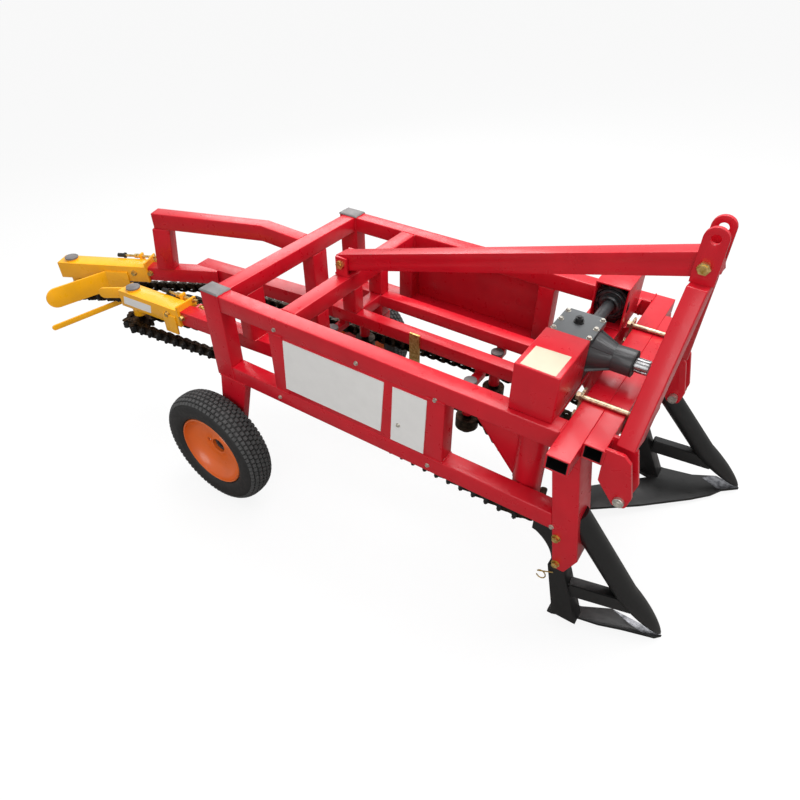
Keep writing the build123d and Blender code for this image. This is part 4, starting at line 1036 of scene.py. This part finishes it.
class HARVESTER_OT_welds(bpy.types.Operator):
    """Adds the weld beads, black liners of painted shade inside the open tubes and the gussets' folded flanges."""

    bl_idname = "harvester.welds"
    bl_label = "Welds"

    def execute(self, context):
        # black liners inside the open tube ends: painted shade where the tubes' insides lie dark
        bm = bmesh.new()
        shade_liners(bm, 1067.1, 1110.9, -417, 344, 717.1, 748.9)
        shade_liners(bm, 1119.1, 1155.9, -346, 244, 717.1, 748.9)
        settle("tube_insides", bm, "black")
        bm = bmesh.new()
        # the folded flange of each drive gusset
        for x, y in ((949, -258), (976, 168)):
            corners = [(x - 126, y - 3, 640), (x + 4, y - 3, 485), (x + 4, y + 44, 485), (x - 126, y + 44, 640)]
            sheet(bm, corners, (-3.5, 0, -3.5))
        settle("gusset_flanges", bm, "red")
        lines = self.side_welds() + self.front_welds()
        mesh = bpy.data.meshes.new("bead_lines")
        edges = [(2 * i, 2 * i + 1) for i in range(len(lines))]
        mesh.from_pydata([point for line in lines for point in line], edges, [])
        radius = context.scene.harvester_sizes.bead_radius / MM
        settings = {"Radius": radius, "Step": 4.0, "Material": MATERIALS["red"]}
        mesh = grown("weld_beads", bead_tree(), mesh, settings)
        settle("weld_beads", mesh, "red", smooth_deg=60)
        return {"FINISHED"}

    def side_welds(self):
        """Both ends of each bead on the two sides of the frame."""
        lines = []
        for side in (1, -1):
            y = side * SIDE
            inner = side * SIDE_IN
            for low, high in (LOW_RAIL, TOP_RAIL):
                lines.append(((55, y, low), (55, y, high)))
            for x in (234, 738):
                for z in (LOW_RAIL[1], TOP_RAIL[0]):
                    lines.append(((x, y, z), (x + 50, y, z)))
                    lines += [((edge, inner, z), (edge, y, z)) for edge in (x, x + 50)]
            for x, start in ((1062, 300.0), (55, SIDE_IN)):
                lines.append(((x, side * start, TOP_RAIL[1]), (x, y, TOP_RAIL[1])))
            lines.append(((-5, y, LOW_RAIL[0]), (100, y, LOW_RAIL[0])))
            lines += [((x, inner, TOP_RAIL[0]), (x, inner, 752)) for x in (0, 50, 245, 295, 936, 1038)]
            lines.append(((1051, y, TOP_RAIL[0]), (1063, y, TOP_RAIL[0])))
            lines.append(((1065, y, 713), (1113, y, 713)))
        return lines

    def front_welds(self):
        """Both ends of each bead on the hitch plates, drive gussets, hangers and mast legs."""
        lines = [((1160.5, y, 716), (1160.5, y, 752)) for y in (-346, -336, -300, -290, 70, 80, 116, 126)]
        for x, y in ((985, -258), (1012, 168)):
            for edge in (y - 3, y + 3):
                lines.append(((x - 36, edge, 486), (x - 36, edge, 640)))
                lines.append(((x - 150, edge, 638), (x - 40, edge, 640)))
        lines += [((x, y - 34, 541), (x, y + 34, 541)) for y in (-200, 102) for x in (0, 50)]
        lines += [((1178, y, 758), (1214, y, 758)) for y in (-300, 80)]
        return lines


def shade_liners(bm, x0, x1, y0, y1, z0, z1):
    """Thin liners on the four inner walls of a tube across the machine, which carry the painted shade inside it.
    """
    for low, high in (
        ((x0, y0, z0), (x1, y1, z0 + 1)), ((x0, y0, z1 - 1), (x1, y1, z1)),
        ((x0, y0, z0), (x0 + 1, y1, z1)), ((x1 - 1, y0, z0), (x1, y1, z1)),
    ):
        block(bm, low, high)


def sheet(bm, corners, thick):
    """A thin closed plate from its outer corners, its back set in along a direction."""
    outer = [bm.verts.new(corner) for corner in corners]
    inner = [bm.verts.new(Vector(corner) - Vector(thick)) for corner in corners]
    count = len(corners)
    bm.faces.new(outer)
    bm.faces.new(list(reversed(inner)))
    for i in range(count):
        k = (i + 1) % count
        bm.faces.new((outer[i], inner[i], inner[k], outer[k]))


class HARVESTER_OT_plates(bpy.types.Operator):
    """Adds the blank vinyl plates on the side, the near head and the near guard box."""

    bl_idname = "harvester.plates"
    bl_label = "Plates"

    def execute(self, context):
        bm = bmesh.new()
        y = -SIDE - 0.7
        # x at the top and at the bottom of both ends, and the heights, of each plate on the right side
        for top0, low0, top1, low1, z0, z1 in ((287, 276, 616, 602, 527, 694), (642, 634, 740, 734, 516, 692)):
            sheet(bm, [(low0, y, z0), (low1, y, z0), (top1, y, z1), (top0, y, z1)], (0, -2.6, 0))
        corners = [NEAR_LINE @ Vector(spot) for spot in (
            (-28, -32.5, 497), (104, -32.5, 497), (112, -32.5, 528), (-20, -32.5, 528),
        )]
        sheet(bm, corners, (0, -0.8, 0))
        settle("white_plates", bm, "film")
        bm = bmesh.new()
        corners = [(947, -325, 873.5), (1026, -327, 873.5), (1027, -245, 873.5), (948, -248, 873.5)]
        sheet(bm, corners, (0, 0, 0.8))
        settle("cream_label", bm, "cream")
        return {"FINISHED"}


# Lamps: place, size in metres, and power in watts, all aimed at one point
LAMPS = {
    "lamp_top": ((0.9, 0.9, 3.6), 3.0, 160.0),
    "lamp_back": ((-2.2, 2.6, 2.8), 2.4, 50.0),
    "lamp_key": ((1.6, -3.4, 2.2), 2.4, 52.0),
}
LAMP_AIM = Vector((0.1, 0.0, 0.4))
# The world's strength as a light and as the camera sees it, and how far the seen floor is plain white
WORLD_LIGHT = 0.62
WORLD_SEEN = 0.945
FLOOR_WHITE = 0.87


class HARVESTER_OT_stage(bpy.types.Operator):
    """Sets the pale floor, the soft lamps and the photograph's camera."""

    bl_idname = "harvester.stage"
    bl_label = "Stage"

    def execute(self, context):
        scene = context.scene
        scene.view_settings.view_transform = "Standard"
        material = bpy.data.materials.new("pale_floor")
        material.use_nodes = True
        tree = material.node_tree
        tree.nodes.clear()
        dull = add(tree, "ShaderNodeBsdfDiffuse", None, {"Color": linear("#8C8A88")})
        pale = add(tree, "ShaderNodeBsdfDiffuse", None, {"Color": linear("#F4F4F4")})
        white = add(tree, "ShaderNodeEmission", None, {"Color": linear("#FFFFFF"), "Strength": 1.0})
        lit = add(
            tree, "ShaderNodeMixShader", None,
            {0: FLOOR_WHITE, 1: pale.outputs["BSDF"], 2: white.outputs["Emission"]},
        )
        rays = add(tree, "ShaderNodeLightPath")
        mixed = add(
            tree, "ShaderNodeMixShader", None,
            {0: rays.outputs["Is Camera Ray"], 1: dull.outputs["BSDF"], 2: lit.outputs["Shader"]},
        )
        add(tree, "ShaderNodeOutputMaterial", None, {"Surface": mixed.outputs["Shader"]})
        bm = bmesh.new()
        bmesh.ops.create_grid(bm, x_segments=1, y_segments=1, size=90)
        mesh = bpy.data.meshes.new("floor")
        bm.to_mesh(mesh)
        bm.free()
        mesh.materials.append(material)
        floor = bpy.data.objects.new("floor", mesh)
        scene.collection.objects.link(floor)
        world = bpy.data.worlds.new("studio_world")
        world.use_nodes = True
        scene.world = world
        tree = world.node_tree
        tree.nodes.clear()
        rays = add(tree, "ShaderNodeLightPath")
        strength = add(
            tree, "ShaderNodeMapRange", None,
            {"Value": rays.outputs["Is Camera Ray"], "To Min": WORLD_LIGHT, "To Max": WORLD_SEEN},
        )
        sky = add(
            tree, "ShaderNodeBackground", None,
            {"Color": linear("#FFFFFF"), "Strength": strength.outputs["Result"]},
        )
        add(tree, "ShaderNodeOutputWorld", None, {"Surface": sky.outputs["Background"]})
        for name, (place, size, power) in LAMPS.items():
            lamp = bpy.data.lights.new(name, "AREA")
            lamp.energy = power
            lamp.size = size
            holder = bpy.data.objects.new(name, lamp)
            holder.location = place
            holder.rotation_euler = (LAMP_AIM - Vector(place)).to_track_quat("-Z", "Y").to_euler()
            scene.collection.objects.link(holder)
        camera = bpy.data.cameras.new("photo_camera")
        camera.lens = LENS_MM
        camera.sensor_width = 36.0
        camera.clip_end = 400.0
        holder = bpy.data.objects.new("photo_camera", camera)
        right = Vector((math.cos(EYE_AZIMUTH), math.sin(EYE_AZIMUTH), 0.0))
        ahead = Vector((-right.y, right.x, 0.0))
        look = ahead * math.cos(EYE_DOWN) - Vector(UP) * math.sin(EYE_DOWN)
        turn = Matrix((right, right.cross(look), -look)).transposed()
        holder.matrix_world = Matrix.LocRotScale(
            LEVEL @ EYE, (Matrix.Rotation(LEAN, 3, "Y") @ turn).to_quaternion(), None
        )
        scene.collection.objects.link(holder)
        scene.camera = holder
        return {"FINISHED"}


OPERATORS = (
    HARVESTER_OT_materials,
    HARVESTER_OT_frame,
    HARVESTER_OT_wheels,
    HARVESTER_OT_chains,
    HARVESTER_OT_shares,
    HARVESTER_OT_fasteners,
    HARVESTER_OT_welds,
    HARVESTER_OT_plates,
    HARVESTER_OT_stage,
)


class HARVESTER_PT_panel(bpy.types.Panel):
    """Lists the machine's pieces in the sidebar."""

    bl_idname = "HARVESTER_PT_panel"
    bl_label = "Harvester"
    bl_space_type = "VIEW_3D"
    bl_region_type = "UI"
    bl_category = "Harvester"

    def draw(self, context):
        column = self.layout.column()
        for group in (context.scene.harvester_finish, context.scene.harvester_sizes):
            for name in group.__annotations__:
                column.prop(group, name)
        for operator in OPERATORS:
            column.operator(operator.bl_idname)


CLASSES = (HarvesterFinish, HarvesterSizes, *OPERATORS, HARVESTER_PT_panel)


def register():
    for cls in CLASSES:
        bpy.utils.register_class(cls)
    bpy.types.Scene.harvester_finish = PointerProperty(type=HarvesterFinish)
    bpy.types.Scene.harvester_sizes = PointerProperty(type=HarvesterSizes)


def unregister():
    del bpy.types.Scene.harvester_sizes
    del bpy.types.Scene.harvester_finish
    for cls in reversed(CLASSES):
        bpy.utils.unregister_class(cls)


def main():
    register()
    for operator in OPERATORS:
        group, name = operator.bl_idname.split(".")
        getattr(getattr(bpy.ops, group), name)()


if __name__ == "__main__":
    main()
